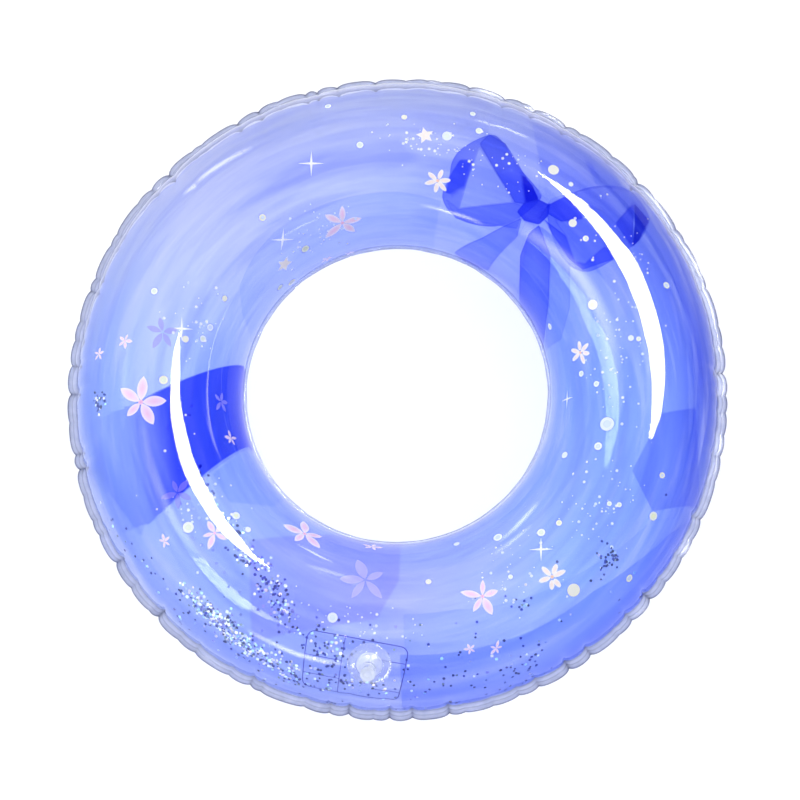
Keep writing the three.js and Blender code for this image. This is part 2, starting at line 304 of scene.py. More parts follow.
def film_point(azimuth, lean, lift=0.0, side=1):
    """Point on the upper (side 1) or lower (side -1) film, lifted off it; angles in radians."""
    azimuth, lean = np.broadcast_arrays(np.asarray(azimuth, float), np.asarray(lean, float))
    distance = np.maximum(TUBE_R * (np.pi / 2 - lean), 0)
    out = TUBE_R + lift - pucker(azimuth, distance)
    height = out * np.cos(lean)
    z = MID_Z + side * height + seam_wave(azimuth) * np.exp(-distance / SEAM_FADE)
    if side < 0:
        z = np.maximum(z, 0.0)
    return round_axis(CENTRE_R + out * np.sin(lean), azimuth, z)


def outward(azimuth, lean):
    """Direction straight out of the tube."""
    return np.array([math.sin(lean) * math.cos(azimuth), math.sin(lean) * math.sin(azimuth), math.cos(lean)])


def ring_azimuths(steps):
    """Azimuths with a row on every crease."""
    stretches = zip(CREASE_STOPS[:-1], CREASE_STOPS[1:])
    return np.concatenate([np.linspace(a, b, steps, endpoint=False) for a, b in stretches])


# ---------------------------------------------------------------- print on the film
PALETTE_AZIMUTHS = (-180, -135, -90, -45, 0, 45, 90, 135)
PALETTE = (  # lean, and the colour at each azimuth
    (-65, ("94acf8", "a2b6f8", "a8bafc", "a4bffe", "98b8fc", "94acfb", "bac6fd", "bcc8fd")),
    (-25, ("a6c0fb", "b0c4fa", "c8ccfe", "b4cafd", "9ab8fb", "a2b6fb", "b8c4fb", "c4ccfe")),
    (0, ("c4d2fd", "aec2fa", "b4bffa", "acc6fe", "9ab6fc", "8c9efa", "c0caf9", "c8cefc")),
    (25, ("aec6fc", "acc0fa", "b2bcf6", "aac4fe", "94aefc", "7a8ef8", "c2caf8", "c8cffb")),
    (55, ("94b2fc", "a4b8fa", "a6b4f4", "8ca6fa", "3c58e2", "5e70e8", "bec6f2", "c4caf4")),
    (80, ("a4b8f6", "98aef4", "8c9cee", "5a76ee", "4e68cc", "7484cc", "b6bfec", "bcc4ee")),
)


def base_print(azimuth, lean):
    """Smooth background colour of the print."""
    stops = np.radians(PALETTE_AZIMUTHS + (180,))
    place = half_turn(azimuth)
    rows = []
    for _, codes in PALETTE:
        colours = np.array([linear(code) for code in codes + codes[:1]])
        rows.append(np.stack([np.interp(place, stops, colours[:, c]) for c in range(3)], -1))
    leans = np.radians([row[0] for row in PALETTE])
    place = np.interp(lean, leans, np.arange(len(leans)))
    index = np.clip(place.astype(int), 0, len(leans) - 2)
    share = (place - index)[..., None]
    rows = np.array(rows)
    columns = np.arange(len(index))
    return rows[index, columns] * (1 - share) + rows[index + 1, columns] * share


def inside_distance(points, outline):
    """Signed distance in plan from points to a closed outline, positive inside.

    A corner with a third number starts a soft side, whose distances are divided by that number.
    """
    corners = np.array([corner[:2] for corner in outline], float)
    softness = np.array([corner[2] if len(corner) > 2 else 1.0 for corner in outline])[:, None]
    inside = np.zeros(len(points), bool)
    gaps = []
    for a, b in zip(corners, np.roll(corners, -1, axis=0)):
        edge = b - a
        along = np.clip((points - a) @ edge / (edge @ edge), 0, 1)
        gaps.append(np.hypot(*(points - a - along[:, None] * edge).T))
        crosses = (a[1] > points[:, 1]) != (b[1] > points[:, 1])
        slope = edge[0] / edge[1] if edge[1] else 0.0
        inside ^= crosses & (points[:, 0] < a[0] + (points[:, 1] - a[1]) * slope)
    nearest = np.argmin(gaps, axis=0)
    gaps = np.array(gaps) / softness
    return np.where(inside, gaps.min(axis=0), -gaps[nearest, np.arange(len(points))])


def smooth_line(points, steps):
    """Smooth line through all the points but the first and last, up to just before its end."""
    made = []
    for before, start, end, after in zip(points, points[1:], points[2:], points[3:]):
        for t in np.arange(steps) / steps:
            bend = (end - before) * t + (2 * before - 5 * start + 4 * end - after) * t * t
            made.append(start + 0.5 * (bend + (3 * start - before - 3 * end + after) * t ** 3))
    return made


def curved(points, steps=6):
    """Closed smooth outline through the points."""
    points = np.array(points, float)
    return smooth_line(np.concatenate([points[-1:], points, points[:2]]), steps)


def along_ring(places, step=4):
    """Plan outline whose sides run round the ring between places given as (azimuth, lean)."""
    made = []
    for (a, lean_a), (b, lean_b) in zip(places, places[1:] + places[:1]):
        count = max(1, math.ceil(abs(b - a) / step))
        for k in range(count):
            azimuth, lean = radians(a + (b - a) * k / count, lean_a + (lean_b - lean_a) * k / count)
            radius = CENTRE_R + TUBE_R * math.sin(lean)
            made.append((radius * math.cos(azimuth), radius * math.sin(azimuth)))
    return made


# Sheer patches of the print, in plan
PATCHES = (  # outline, colour, strength, width of its edge, strength of its drawn edge
    # veils
    ([(-308, -86, 12), (-283, -110), (-250, -157), (-246, -150, 12), (-270, -98, 12), (-290, -60, 12)],
     "6480f4", 0.5, 1.2, 0),
    ([(-262, -30), (-153, 26), (-110, -35), (-148, -65), (-184, -99), (-240, -146, 60)],
     "2034ea", 0.97, 1.2, 0.1),
    ([(-242, -152), (-142, -236), (-87, -182), (-146, -59)], "b8c8ff", 0.6, 1.2, 0),
    ([(-179, -98), (-162, -126), (-120, -126), (-100, -100), (-148, -65)], "7c9cfa", 0.5, 1.2, 0),
    ([(-142, -165), (5, -140), (4, -205), (-17, -244), (-140, -262)], "8a7cf8", 0.5, 2.5, 0),
    (along_ring([(-88, 1), (-76, 3), (-64, 11), (-54, 17), (-45, 23), (-30, 37), (-26, 60), (-88, 34)]),
     "86a0fc", 0.5, 1.2, 0.1),
    (along_ring([(-89, 28), (-73, 32), (-62, 35), (-48, 37), (-39, 45), (-30, 57), (-20, 90), (-89, 90)]),
     "5472f6", 0.62, 1.2, 0.1),
    ([(232, -98), (252, -136), (300, -120), (296, -30), (262, -40)], "4c60ea", 0.6, 1.6, 0.1),
    (along_ring([(162, -88), (155, -55), (148, -41), (139, -36), (129, -33), (116, -33), (89, -34),
                 (76, -37), (76, -88)]), "86a0fa", 0.55, 1.2, 0.1),
    (along_ring([(132, -6), (113, 0), (102, -1), (89, 3), (84, -10), (89, -19), (103, -19), (115, -15)]),
     "7484f2", 0.45, 9, 0),
    ([(100, 300), (137, 262), (150, 180), (122, 186), (92, 250)], "b0bcfc", 0.7, 1.6, 0.1),
    ([(150, 180), (137, 262), (200, 262), (226, 200)], "7c8cf6", 0.5, 1.6, 0),
    ([(189, 225), (200, 197), (208, 196), (196, 221)], "566cee", 0.6, 3, 0.2),
    # bow: left loop
    (curved([(94, 246), (107, 239), (122, 213), (139, 192), (145, 179), (121, 160), (95, 156), (62, 166),
             (47, 184), (54, 203), (57, 218), (68, 232)]), "4a5cf0", 0.85, 0.8, 0.6),
    ([(48, 186), (63, 174), (119, 176), (128, 171), (121, 151), (95, 158), (60, 166)],
     "5a6cf4", 0.75, 0.8, 0.4),
    ([(79, 219, 6), (72, 194, 4), (56, 186), (50, 189), (55, 205), (65, 220)], "1c30e8", 0.85, 1.4, 0),
    ([(84, 236), (94, 247), (110, 237), (127, 207), (143, 179), (128, 174), (119, 176), (104, 200)],
     "384aee", 0.8, 0.8, 0.6),
    ([(84, 233), (63, 174), (119, 176)], "98a8fb", 0.88, 0.8, 0.6),
    ([(125, 207), (137, 192), (143, 177), (129, 175, 3), (127, 190, 3)], "0810cc", 0.95, 1.2, 0),
    # bow: right loop
    (curved([(151, 172), (178, 186), (208, 196), (236, 195), (253, 168), (245, 142), (233, 129),
             (217, 116), (188, 104), (163, 124)]), "4c60f0", 0.75, 0.8, 0.5),
    ([(153, 163), (165, 155), (187, 158), (201, 147), (209, 130), (188, 112), (178, 115), (169, 141)],
     "6c80f4", 0.8, 0.8, 0.5),
    ([(178, 186), (208, 195), (236, 195), (253, 169), (238, 182), (219, 153), (206, 166), (186, 174)],
     "7888f6", 0.6, 0.8, 0.6),
    ([(147, 159), (169, 141), (178, 115), (188, 112), (209, 130), (217, 116), (186, 106), (173, 117),
      (158, 140)], "3044ee", 0.8, 0.8, 0.4),
    ([(151, 172), (169, 181), (179, 175), (187, 158), (165, 155), (152, 163)], "2434ea", 0.88, 0.8, 0.5),
    ([(238, 181), (235, 129), (219, 154)], "3040ea", 0.85, 0.8, 0.4),
    ([(238, 181), (253, 163), (242, 138), (235, 129), (238, 155)], "0c1cc4", 0.95, 0.8, 0.3),
    # bow: tails and knot
    ([(126, 161), (121, 143), (92, 124), (58, 143), (87, 148), (108, 155)], "4c60f0", 0.72, 0.8, 0.6),
    ([(130, 158), (139, 153), (132, 138), (121, 95), (92, 124), (122, 145)], "a8b2fc", 0.8, 0.8, 0.4),
    ([(143, 153), (158, 140), (173, 117), (173, 71), (164, 43), (148, 40), (152, 78), (154, 123)],
     "6c86f6", 0.6, 0.8, 0.35),
    ([(133, 146), (124, 127), (123, 94), (130, 62), (146, 40), (152, 78), (154, 123), (143, 153)],
     "3044ec", 0.8, 0.8, 0.6),
    ([(128, 175), (143, 178), (154, 172), (152, 161), (143, 153), (128, 158), (121, 167)],
     "1c2ae2", 0.95, 1.0, 0.5),
    ([(143, 159), (152, 172), (169, 181), (156, 175)], "0810cc", 0.9, 1.6, 0),
    ([(143, 205), (169, 181), (154, 173), (143, 185)], "a0b2fc", 0.6, 1.0, 0.2),
)

# Thin pale concentric bands laid into the film's colour, in degrees
ARCS = (  # from azimuth, to azimuth, low lean, high lean, then as for a patch
    (-180, 180, -51.3, -50.5, "f0f4ff", 0.6, 0.3, 0),
    (70, 120, 58, 60.5, "d8e0ff", 0.35, 1.0, 0),
)


def arc_distance(azimuth, lean, start, end, low, high):
    """Signed distance along the film from a stretch of a concentric band, positive inside."""
    centre, half = radians((start + end) / 2, (end - start) / 2)
    turn = np.abs(half_turn(azimuth - centre))
    along = (half - turn) * CENTRE_R if end - start < 360 else np.full(len(turn), np.inf)
    across = np.minimum(lean - math.radians(low), math.radians(high) - lean) * TUBE_R
    return np.minimum(along, across)


WASH_WIDTH = 22  # each wash of colour is strongest within this distance of its edge
WASH_FADE = 0.16
LINE_OFFSET = 0.5  # a drawn edge lies this far inside its patch
LINE_HALF_WIDTH = 0.8
LINE_CODE = "1c28cc"
INK_SLOPE = 1.2  # how fast ink thins as its red and green rise
THIN_INK = 0.42  # how strongly pale ink tints what is seen through it
DENSE_INK = 0.28  # added to that for the darkest ink


def sheer_layer(shader, colour, density, index, layer):
    """Lays one patch of the print over the colour, and over the density of its ink."""
    code, strength, edge, line = layer
    distance = shader.attribute(f"layer_{index:02d}")
    cover = shader.math("MULTIPLY_ADD", distance, 1 / edge, 0.5, clamp=True)
    deep = shader.math("MULTIPLY", distance, 1 / WASH_WIDTH, clamp=True)
    fade = shader.math("MULTIPLY_ADD", deep, -WASH_FADE * strength, strength)
    share = shader.math("MULTIPLY", cover, fade)
    colour = shader.mix_colour(share, colour, opaque(code))
    ink = max(0.0, 1 - INK_SLOPE * linear(code)[:2].sum())
    density = shader.math("MULTIPLY_ADD", shader.math("SUBTRACT", ink, density), share, density)
    if line:
        away = shader.math("ABSOLUTE", shader.math("SUBTRACT", distance, LINE_OFFSET))
        drawn = shader.math("MULTIPLY_ADD", away, -line / LINE_HALF_WIDTH, line, clamp=True)
        colour = shader.mix_colour(drawn, colour, opaque(LINE_CODE))
    return colour, density


FOLD_SHADING_NOISES = (  # scale, detail, then for the painted highlight and the painted shade of folds: where they start and end, and strength
    (42, 2, (0.53, 0.63, 0.3), (0.48, 0.38, 0.3)),
    (130, 3, (0.56, 0.68, 0.22), (0.44, 0.34, 0.12)),
)
# colours of the painted highlight and the painted shade along the folds
FOLD_SHADING_CODES = ("e4e8ff", "6c84f6")
FOLD_SHADING_REACH = 25  # the painted fold shading changes along the ring as slowly as on a circle of this radius


def painted_fold_shading(shader, colour):
    """Painted highlight and painted shade of long soft folds, light and dark, that run round the ring, laid
    over the print's colour.
    """
    place = shader.attribute("painted_fold_shading", "Vector")
    shares = [0.0, 0.0]
    for scale, detail, *folds in FOLD_SHADING_NOISES:
        noise = shader.noise(scale, detail, place)
        for index, (start, end, strength) in enumerate(folds):
            fold = shader.ramp(noise, start, end)
            shares[index] = shader.math("MULTIPLY_ADD", fold, strength, shares[index])
    for share, code in zip(shares, FOLD_SHADING_CODES):
        colour = shader.mix_colour(share, colour, opaque(code))
    return colour


def film_material(name, opacity, layers):
    """Glossy printed film: tinted see-through plastic with a little body from its white underprint."""
    shader = Shader(name)
    # painted highlight and painted shade of folds, laid over the print's colour
    colour = painted_fold_shading(shader, shader.attribute("print", "Color"))
    density = 0.0
    for index, layer in enumerate(layers):
        colour, density = sheer_layer(shader, colour, density, index, layer)
    clouded = shader.mix_colour(1.0, colour, CLOUD_TINT, "MULTIPLY")
    colour = shader.mix_colour(shader.noise(14, 4), colour, clouded)
    printed = shader.share("printed")
    gamma = shader.math("MULTIPLY_ADD", density, DENSE_INK, THIN_INK)
    tint = shader.node("ShaderNodeGamma", {"Color": colour, "Gamma": gamma}).outputs[0]
    clear = shader.clear(shader.mix_colour(printed, MARGIN_TINT, tint))
    body = shader.lit(shader.mix_colour(printed, MARGIN_BODY, colour), 0.3, 0.4, 0.0)
    cover = shader.math("MULTIPLY_ADD", printed, opacity - MARGIN_OPACITY, MARGIN_OPACITY)
    under = shader.mix_shader(cover, clear, body)
    ripple = shader.bump(shader.noise(9, 2), 0.12, 0.004)
    return shader.finish(shader.gloss_over(under, FILM_GLOSS, FILM_ROUGHNESS, ripple))


VALVE_OUT = -np.array(next(joint for joint in frame["joints"] if joint["name"] == "stem_push")["axis"])
VALVE_LEAN = math.acos(VALVE_OUT[2])
VALVE_HOLE_R = 12.4
VALVE_REACH = 20  # the film below this depth is the far side of the tube


def valve_place():
    """Matrix from the valve's own frame, film surface at z = 0, to the ring's frame, in millimetres."""
    azimuth = math.atan2(VALVE_OUT[1], VALVE_OUT[0])
    place = Matrix.Rotation(azimuth, 4, "Z") @ Matrix.Translation((CENTRE_R, 0, MID_Z))
    return place @ Matrix.Rotation(VALVE_LEAN, 4, "Y") @ Matrix.Translation((0, 0, TUBE_R))


VALVE = valve_place()


def to_valve(points):
    inverse = np.array(VALVE.inverted())
    return np.asarray(points) @ inverse[:3, :3].T + inverse[:3, 3]


def from_valve(points):
    place = np.array(VALVE)
    return np.asarray(points, float) @ place[:3, :3].T + place[:3, 3]


def cut_valve_hole(points, faces):
    """Drops the faces over the valve hole and pulls the cut edge onto a clean circle."""
    local = to_valve(points)
    reach = np.hypot(local[:, 0], local[:, 1])
    faces = np.array(faces)
    near_top = np.abs(local[faces].mean(1)[:, 2]) < VALVE_REACH
    inside = (np.hypot(*local[faces].mean(1)[:, :2].T) < VALVE_HOLE_R) & near_top
    kept = faces[~inside]
    edge = np.intersect1d(np.unique(faces[inside]), np.unique(kept))
    local[edge, :2] *= (VALVE_HOLE_R / reach[edge])[:, None]
    points[edge] = from_valve(local)[edge]
    return points, kept.tolist()


STEEP_END = 66  # rows lie closer together between this lean and the outer seam


def film_grid(steps, steep_rows, rows):
    """Azimuth and lean of each point of a film, and how many points a row has."""
    steep = np.linspace(90, STEEP_END, steep_rows)[:-1]
    leans = np.radians(np.concatenate([steep, np.linspace(STEEP_END, -90, rows)]))
    azimuth, lean = np.meshgrid(ring_azimuths(steps), leans, indexing="ij")
    return azimuth.ravel(), lean.ravel(), len(leans)


def printed_share(azimuth, lean):
    """1 where the film is printed, falling to 0 over a millimetre at the clear margin."""
    distance = TUBE_R * (np.pi / 2 - lean)
    waver = MARGIN_WAVER * np.cos(LOBES / 2 * azimuth)
    edge = CLEAR_MARGIN + waver - MARGIN_DIP * pucker(azimuth, distance)
    return 0.5 + (distance - edge) / MARGIN_BLUR


def printed_film(name, points, faces, material, azimuth, lean):
    """Film with what its material reads; the painted highlight and shade of its folds run across the tube
    and slowly round the ring.
    """
    film = mesh_object(name, points, faces, material, "ring")
    set_colours(film, "print", base_print(azimuth, lean))
    folds = (TUBE_R * lean, FOLD_SHADING_REACH * np.cos(azimuth), FOLD_SHADING_REACH * np.sin(azimuth))
    set_colours(film, "painted_fold_shading", np.stack(folds, -1) * MM)
    set_numbers(film, "printed", printed_share(azimuth, lean))
    return film


def make_upper_film():
    azimuth, lean, columns = film_grid(STEPS_PER_LOBE, 19, 84)
    points = film_point(azimuth, lean)
    plan = points[:, :2].copy()
    points, faces = cut_valve_hole(points, grid_faces(len(points) // columns, columns))
    layers = [patch[1:] for patch in PATCHES] + [arc[4:] for arc in ARCS]
    material = film_material("printed_film_upper", 0.24, layers)
    film = printed_film("upper_film", points, faces, material, azimuth, lean)
    distances = [inside_distance(plan, patch[0]) for patch in PATCHES]
    distances += [arc_distance(azimuth, lean, *arc[:4]) for arc in ARCS]
    for index, distance in enumerate(distances):
        set_numbers(film, f"layer_{index:02d}", distance)
    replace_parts(film, "upper_skin")


def make_lower_film():
    azimuth, lean, columns = film_grid(STEPS_PER_LOBE // 2, 13, 50)
    points = film_point(azimuth, lean, side=-1)
    faces = grid_faces(len(points) // columns, columns, flip=True)
    material = film_material("printed_film_lower", 0.6, [])
    film = printed_film("lower_film", points, faces, material, azimuth, lean)
    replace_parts(film, "lower_skin")


# ---------------------------------------------------------------- welded seams
def clear_material(name, tint, body_share, roughness=0.08):
    """Clear vinyl weld with painted shade; it is darkest where the shade attribute marks a fold or an edge.
    """
    shader = Shader(name)
    shade = shader.share("shade")
    # painted shade: the see-through tint and the body colour both darken where the shade attribute is high
    clear = shader.clear(shader.mix_colour(shade, (*tint, 1), (0.34, 0.36, 0.46, 1)))
    colour = shader.mix_colour(shader.noise(120, 3), (0.36, 0.4, 0.54, 1), (0.7, 0.73, 0.84, 1))
    body = shader.lit(shader.mix_colour(shade, colour, (0.12, 0.14, 0.22, 1)), 0.35, 0.4)
    under = shader.mix_shader(body_share, clear, body)
    grain = shader.bump(shader.noise(260, 2), 0.25, 0.0006)
    return shader.finish(shader.gloss_over(under, 0.008, roughness, grain))


def seam_band(name, azimuths, section, start, end, height, material, flip=False):
    """Welded seam from the tube to a sharp edge, and how far along that way each point of its section is.

    The section lists (share of the way, half thickness); height(share) is how high its middle lies.
    """
    upper, lower = [], []
    for share, half in section:
        radius = start + (end - start) * share
        middle = MID_Z + height(share)
        upper.append(round_axis(radius, azimuths, middle + half))
        lower.append(round_axis(radius, azimuths, middle - half))
    edge = round_axis(end, azimuths, MID_Z + height(1.0))
    points = np.stack(upper + [edge] + lower[::-1], 1)
    faces = grid_faces(len(azimuths), points.shape[1], close_columns=True, flip=flip)
    shares = np.array([share for share, _ in section])
    band = mesh_object(name, points, faces, material, "ring")
    return band, np.concatenate([shares, [1.0], shares[::-1]])


LOBE_BULGE = 1.1
LOBE_ROUNDNESS = 5.0  # distance from a crease over which the edge swells
NOTCH_WIDTH = 4.5
# FOLD_WIDTH is how wide the painted shade in a fold by a notch spreads
FOLD_WIDTH = 1.8
FLUTTER = 0.75  # the free edge waves by this share of the seam's own wave, out of step with it
FLUTTER_TURN = 0.011


def make_outer_seam():
    azimuths = ring_azimuths(STEPS_PER_LOBE)
    gaps = crease_gap(azimuths)
    notch = (NOTCHES * np.exp(-gaps / NOTCH_WIDTH)).sum(-1)
    edge = BAND_R + LOBE_BULGE * (1.0 - np.exp(-gaps.min(-1) / LOBE_ROUNDNESS)) - notch
    wave = seam_wave(azimuths)
    flutter = FLUTTER * seam_wave(azimuths + FLUTTER_TURN, np.roll(SEAM_WAVES, 7))
    inner = RIM_R - SEAM_OVERLAP - pucker(azimuths, np.zeros(len(azimuths)))
    section = ((0.0, 0.3), (0.2, 0.34), (0.42, 0.34), (0.47, 0.62), (0.53, 0.62), (0.58, 0.34),
               (0.86, 0.32), (0.93, 0.5), (0.985, 0.4))
    material = clear_material("clear_weld", (0.76, 0.78, 0.87), 0.42, 0.2)
    band, share = seam_band("outer_seam_band", azimuths, section, inner, edge,
                            lambda s: wave + flutter * s ** 2, material)
    # painted shade, darker towards the free edge and in the folds by the notches; the weld is also darker at
    # its join with the tube and along a line down its middle
    rim = np.clip((share - 0.84) / 0.12, 0, 1) * 0.9
    rim += 0.6 * (share < 0.05) + 0.3 * (np.abs(share - 0.5) < 0.06)
    fold = (0.2 * NOTCHES * np.exp(-gaps / FOLD_WIDTH)).sum(-1)
    set_numbers(band, "shade", rim[None, :] + fold[:, None])
    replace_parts(band, "outer_weld_seam")


INNER_SEAM_WIDTH = 2.7


def make_inner_seam():
    azimuths = np.linspace(-np.pi, np.pi, 720, endpoint=False)
    draw = random.Random(5)
    ripple = sum(draw.uniform(0.1, 0.3) * np.cos(k * azimuths + draw.uniform(0, 6)) for k in (9, 17, 31, 46))
    section = ((0.0, 0.3), (0.3, 0.34), (0.45, 0.5), (0.6, 0.34), (0.9, 0.42))
    material = clear_material("clear_inner_weld", (0.8, 0.83, 0.92), 0.25)
    outer = HOLE_R + SEAM_OVERLAP
    inner = HOLE_R - INNER_SEAM_WIDTH + 0.5 * ripple
    band, share = seam_band("inner_seam_band", azimuths, section, outer, inner,
                            lambda s: ripple * s, material, flip=True)
    # painted shade, darker towards the free edge
    rim = np.clip((share - 0.85) / 0.15, 0, 1) * 0.7
    set_numbers(band, "shade", np.broadcast_to(rim, (len(azimuths), len(rim))))
    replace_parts(band, "inner_weld_seam")


# ---------------------------------------------------------------- printed motifs
class Print:
    """Gathers small printed shapes that lie on the upper film into one mesh."""

    def __init__(self):
        self.points, self.faces, self.colours, self.covers = [], [], [], []

    def place(self, azimuth, lean, offsets, lift):
        """Film points for offsets (right, up) in millimetres, made while the film still lies flat."""
        a, b = radians(azimuth, lean)
        flat = CENTRE_R + TUBE_R * b
        x, y = (np.asarray(offsets, float) + (flat * math.cos(a), flat * math.sin(a))).T
        return film_point(np.arctan2(y, x), (np.hypot(x, y) - CENTRE_R) / TUBE_R, lift)

    def add(self, points, faces, colours, covers):
        start = sum(len(p) for p in self.points)
        self.points.append(points)
        self.faces += [tuple(start + i for i in face) for face in faces]
        self.colours.append(np.broadcast_to(colours, (len(points), 3)))
        self.covers.append(np.broadcast_to(covers, len(points)))

    def star_shape(self, spot, reach, turn, inner, outer, cover, lift=PRINT_LIFT, steps=60, middle=(0, 0)):
        """Shape whose edge is reach(angle) from its middle, shaded from an inner to an outer colour."""
        angles = np.linspace(0, 2 * np.pi, steps, endpoint=False)
        edge = np.array([reach(a) for a in angles])
        rings = max(1, math.ceil(edge.max() / 4.0))
        offsets = [middle]
        shades = [0.0]
        for ring in range(1, rings + 1):
            for a, r in zip(angles, edge * ring / rings):
                offsets.append((middle[0] + r * math.cos(a + turn), middle[1] + r * math.sin(a + turn)))
                shades.append(ring / rings)
        faces = [(0, 1 + i, 1 + (i + 1) % steps) for i in range(steps)]
        for ring in range(1, rings):
            low = 1 + (ring - 1) * steps
            for i in range(steps):
                k = (i + 1) % steps
                faces.append((low + i, low + steps + i, low + steps + k, low + k))
        share = (np.array(shades) ** 1.5)[:, None]
        colours = linear(inner) * (1 - share) + linear(outer) * share
        self.add(self.place(*spot, offsets, lift), faces, colours, cover)

    def line(self, spot, path, width, code, cover):
        """Thin printed line along a path of plan offsets."""
        step = np.gradient(path, axis=0)
        side = np.stack([-step[:, 1], step[:, 0]], -1)
        side *= (width / 2) / np.maximum(np.hypot(*side.T), 1e-6)[:, None]
        offsets = np.concatenate([path - side, path + side])
        count = len(path)
        faces = [(i, i + 1, count + i + 1, count + i) for i in range(count - 1)]
        self.add(self.place(*spot, offsets, PRINT_LIFT), faces, linear(code), cover)

    def build(self, name, material):
        made = mesh_object(name, np.concatenate(self.points), self.faces, material, "ring")
        set_colours(made, "ink", np.concatenate(self.colours))
        set_numbers(made, "cover", np.concatenate(self.covers))


def ink_material():
    shader = Shader("printed_ink")
    speck = shader.math("MULTIPLY", shader.noise(400, 2), 0.16)
    ink = shader.mix_colour(speck, shader.attribute("ink", "Color"), (0.75, 0.78, 1.0, 1))
    body = shader.lit(ink, 0.4, 0.25, 0.0)
    under = shader.mix_shader(shader.attribute("cover"), shader.clear(WHITE), body)
    return shader.finish(shader.gloss_over(under, FILM_GLOSS, FILM_ROUGHNESS))


def lens(half_length, tip):
    """Edge of a pointed petal about its own middle; the tip's half angle is in degrees."""
    arc = half_length / math.sin(math.radians(tip))
    shift = arc * math.cos(math.radians(tip))

    def reach(angle):
        return math.sqrt(arc ** 2 - (shift * math.cos(angle)) ** 2) - shift * abs(math.sin(angle))
    return reach


def spikes(size, count, waist):
    """Edge of a star with straight sides."""
    pitch = 2 * math.pi / count

    def reach(angle):
        away = abs((angle + pitch / 2) % pitch - pitch / 2)
        outer, inner = size, size * waist
        top = outer * inner * math.sin(pitch / 2)
        return top / (inner * math.sin(pitch / 2 - away) + outer * math.sin(away))
    return reach


def disc(size):
    return lambda angle: size


def ellipse(long, wide):
    return lambda angle: long * wide / math.hypot(wide * math.cos(angle), long * math.sin(angle))


PINK_FLOWERS = (  # azimuth, lean, across, turn
    (108, -51, 38, 20), (-174, 9, 50, 12), (-138, -1, 30, 40), (-120, -45, 40, 8), (-69, 0, 38, 15),
    (-161, -51, 18, 30), (172, 22, 17, 60), (174.5, 43, 15, 10), (-144, 29, 15, 34), (-75, 31, 13, 50),
    (-70, 36, 15, 10), (-98, -58, 18, 5), (117, -81, 10, 0), (108, -87, 8, 30),
)
CREAM_FLOWERS = ((78, -23.5, 27, 14), (8, -39, 26, 40), (-53, 11, 30, 22))
FAINT_FLOWERS = ((169, -3, 38, 20, "9a8cf4"), (-151, 3.5, 32, 50, "8a7cf0"), (-173.5, -49, 20, 10, "b8b0fa"),
                 (-98, -22, 48, 30, "d2c8fc"))
SPARKLES = ((111, -4, 26), (128, -41, 24), (167, -15, 24), (-6, -53, 18), (-51, -8, 24))
SMALL_STARS = ((132, -58, 17, 12), (83, 6, 18, 30))
BUBBLES = (  # azimuth, lean, size
    (103.5, 37.6, 7), (98.4, 0, 7), (123, -58, 8), (138, -73, 6), (133, -80, 7), (129, -20, 7),
    (160, 10.5, 7), (164, -34, 7), (169.5, -19, 7), (168, -31, 7), (154, -36, 6), (-179, -7, 9),
    (78, 8, 10), (88, 19, 6), (74, 31, 6), (71.5, 18, 7), (53, 16.5, 11), (48, 16, 5), (41, -3, 8),
    (36, -3, 6), (20, -21, 10), (19, 33, 7), (8.7, -2, 6), (8.2, 3, 5), (21, -61, 6), (1.4, -40, 6),
    (-2.4, -28, 6), (-13.6, -16.5, 14), (-20, -18, 8), (-25, -40, 7), (-21, 30, 6), (-29, 37, 9),
    (-48, -17, 8), (-58, -35, 9), (-70, -48, 6), (-51, 27, 13), (-41, 51, 8), (-43, -13, 6), (-32, 6, 5),
    (-31, 12, 5), (-61, -4, 5), (-81, -20, 6), (-143, 10, 11), (-138, -20, 8), (-133, -19, 6),
    (-104, 8, 10),
)
DOT_DRIFTS = (  # azimuth, lean, spread in azimuth, spread in lean, count
    (80, 4, 12, 12, 60), (118, -50, 14, 14, 44), (165, -22, 10, 16, 36), (30, 12, 14, 16, 60),
    (5, -12, 16, 18, 60), (-32, 0, 12, 18, 60), (-60, -6, 14, 22, 50), (-100, 10, 18, 20, 46),
    (-145, -4, 16, 22, 46), (60, 0, 12, 16, 30),
)


DOT_SIZES = (0.4, 0.5, 0.6, 0.8, 1.1, 1.5)
DOT_CODES = ("ffffff", "ffffff", "f8fbe0", "e4eeff")
PETAL_WOBBLE = 13  # degrees
PETAL_STEP = 0.02  # each petal lies this far above the one before
HEART_LIFT = 0.26


def petal_place(angle, reach):
    return reach * math.cos(angle), reach * math.sin(angle)


def pointed_flower(flowers, spot, across, turn, inner, outer, cover, draw):
    """Five pointed petals of slightly different lengths round a small open middle."""
    for index in range(5):
        angle = math.radians(turn + 72 * index + draw.uniform(-PETAL_WOBBLE, PETAL_WOBBLE))
        half = 0.225 * across * draw.uniform(0.78, 1.22)
        middle = petal_place(angle, half + 0.03 * across)
        steps = 48 if across > 20 else 24
        petal = lens(half, draw.uniform(36, 50))
        lift = PRINT_LIFT + PETAL_STEP * index
        flowers.star_shape(spot, petal, angle, inner, outer, cover, lift, steps, middle)


def round_flower(flowers, spot, across, turn, draw):
    """Six rounded cream petals."""
    for index in range(6):
        angle = math.radians(turn + 60 * index + draw.uniform(-PETAL_WOBBLE, PETAL_WOBBLE))
        petal = ellipse(across * 0.2 * draw.uniform(0.8, 1.2), across * 0.085)
        lift = PRINT_LIFT + PETAL_STEP * index
        middle = petal_place(angle, 0.26 * across)
        flowers.star_shape(spot, petal, angle, "ffe9d6", "fffaf0", 1.0, lift, 28, middle)


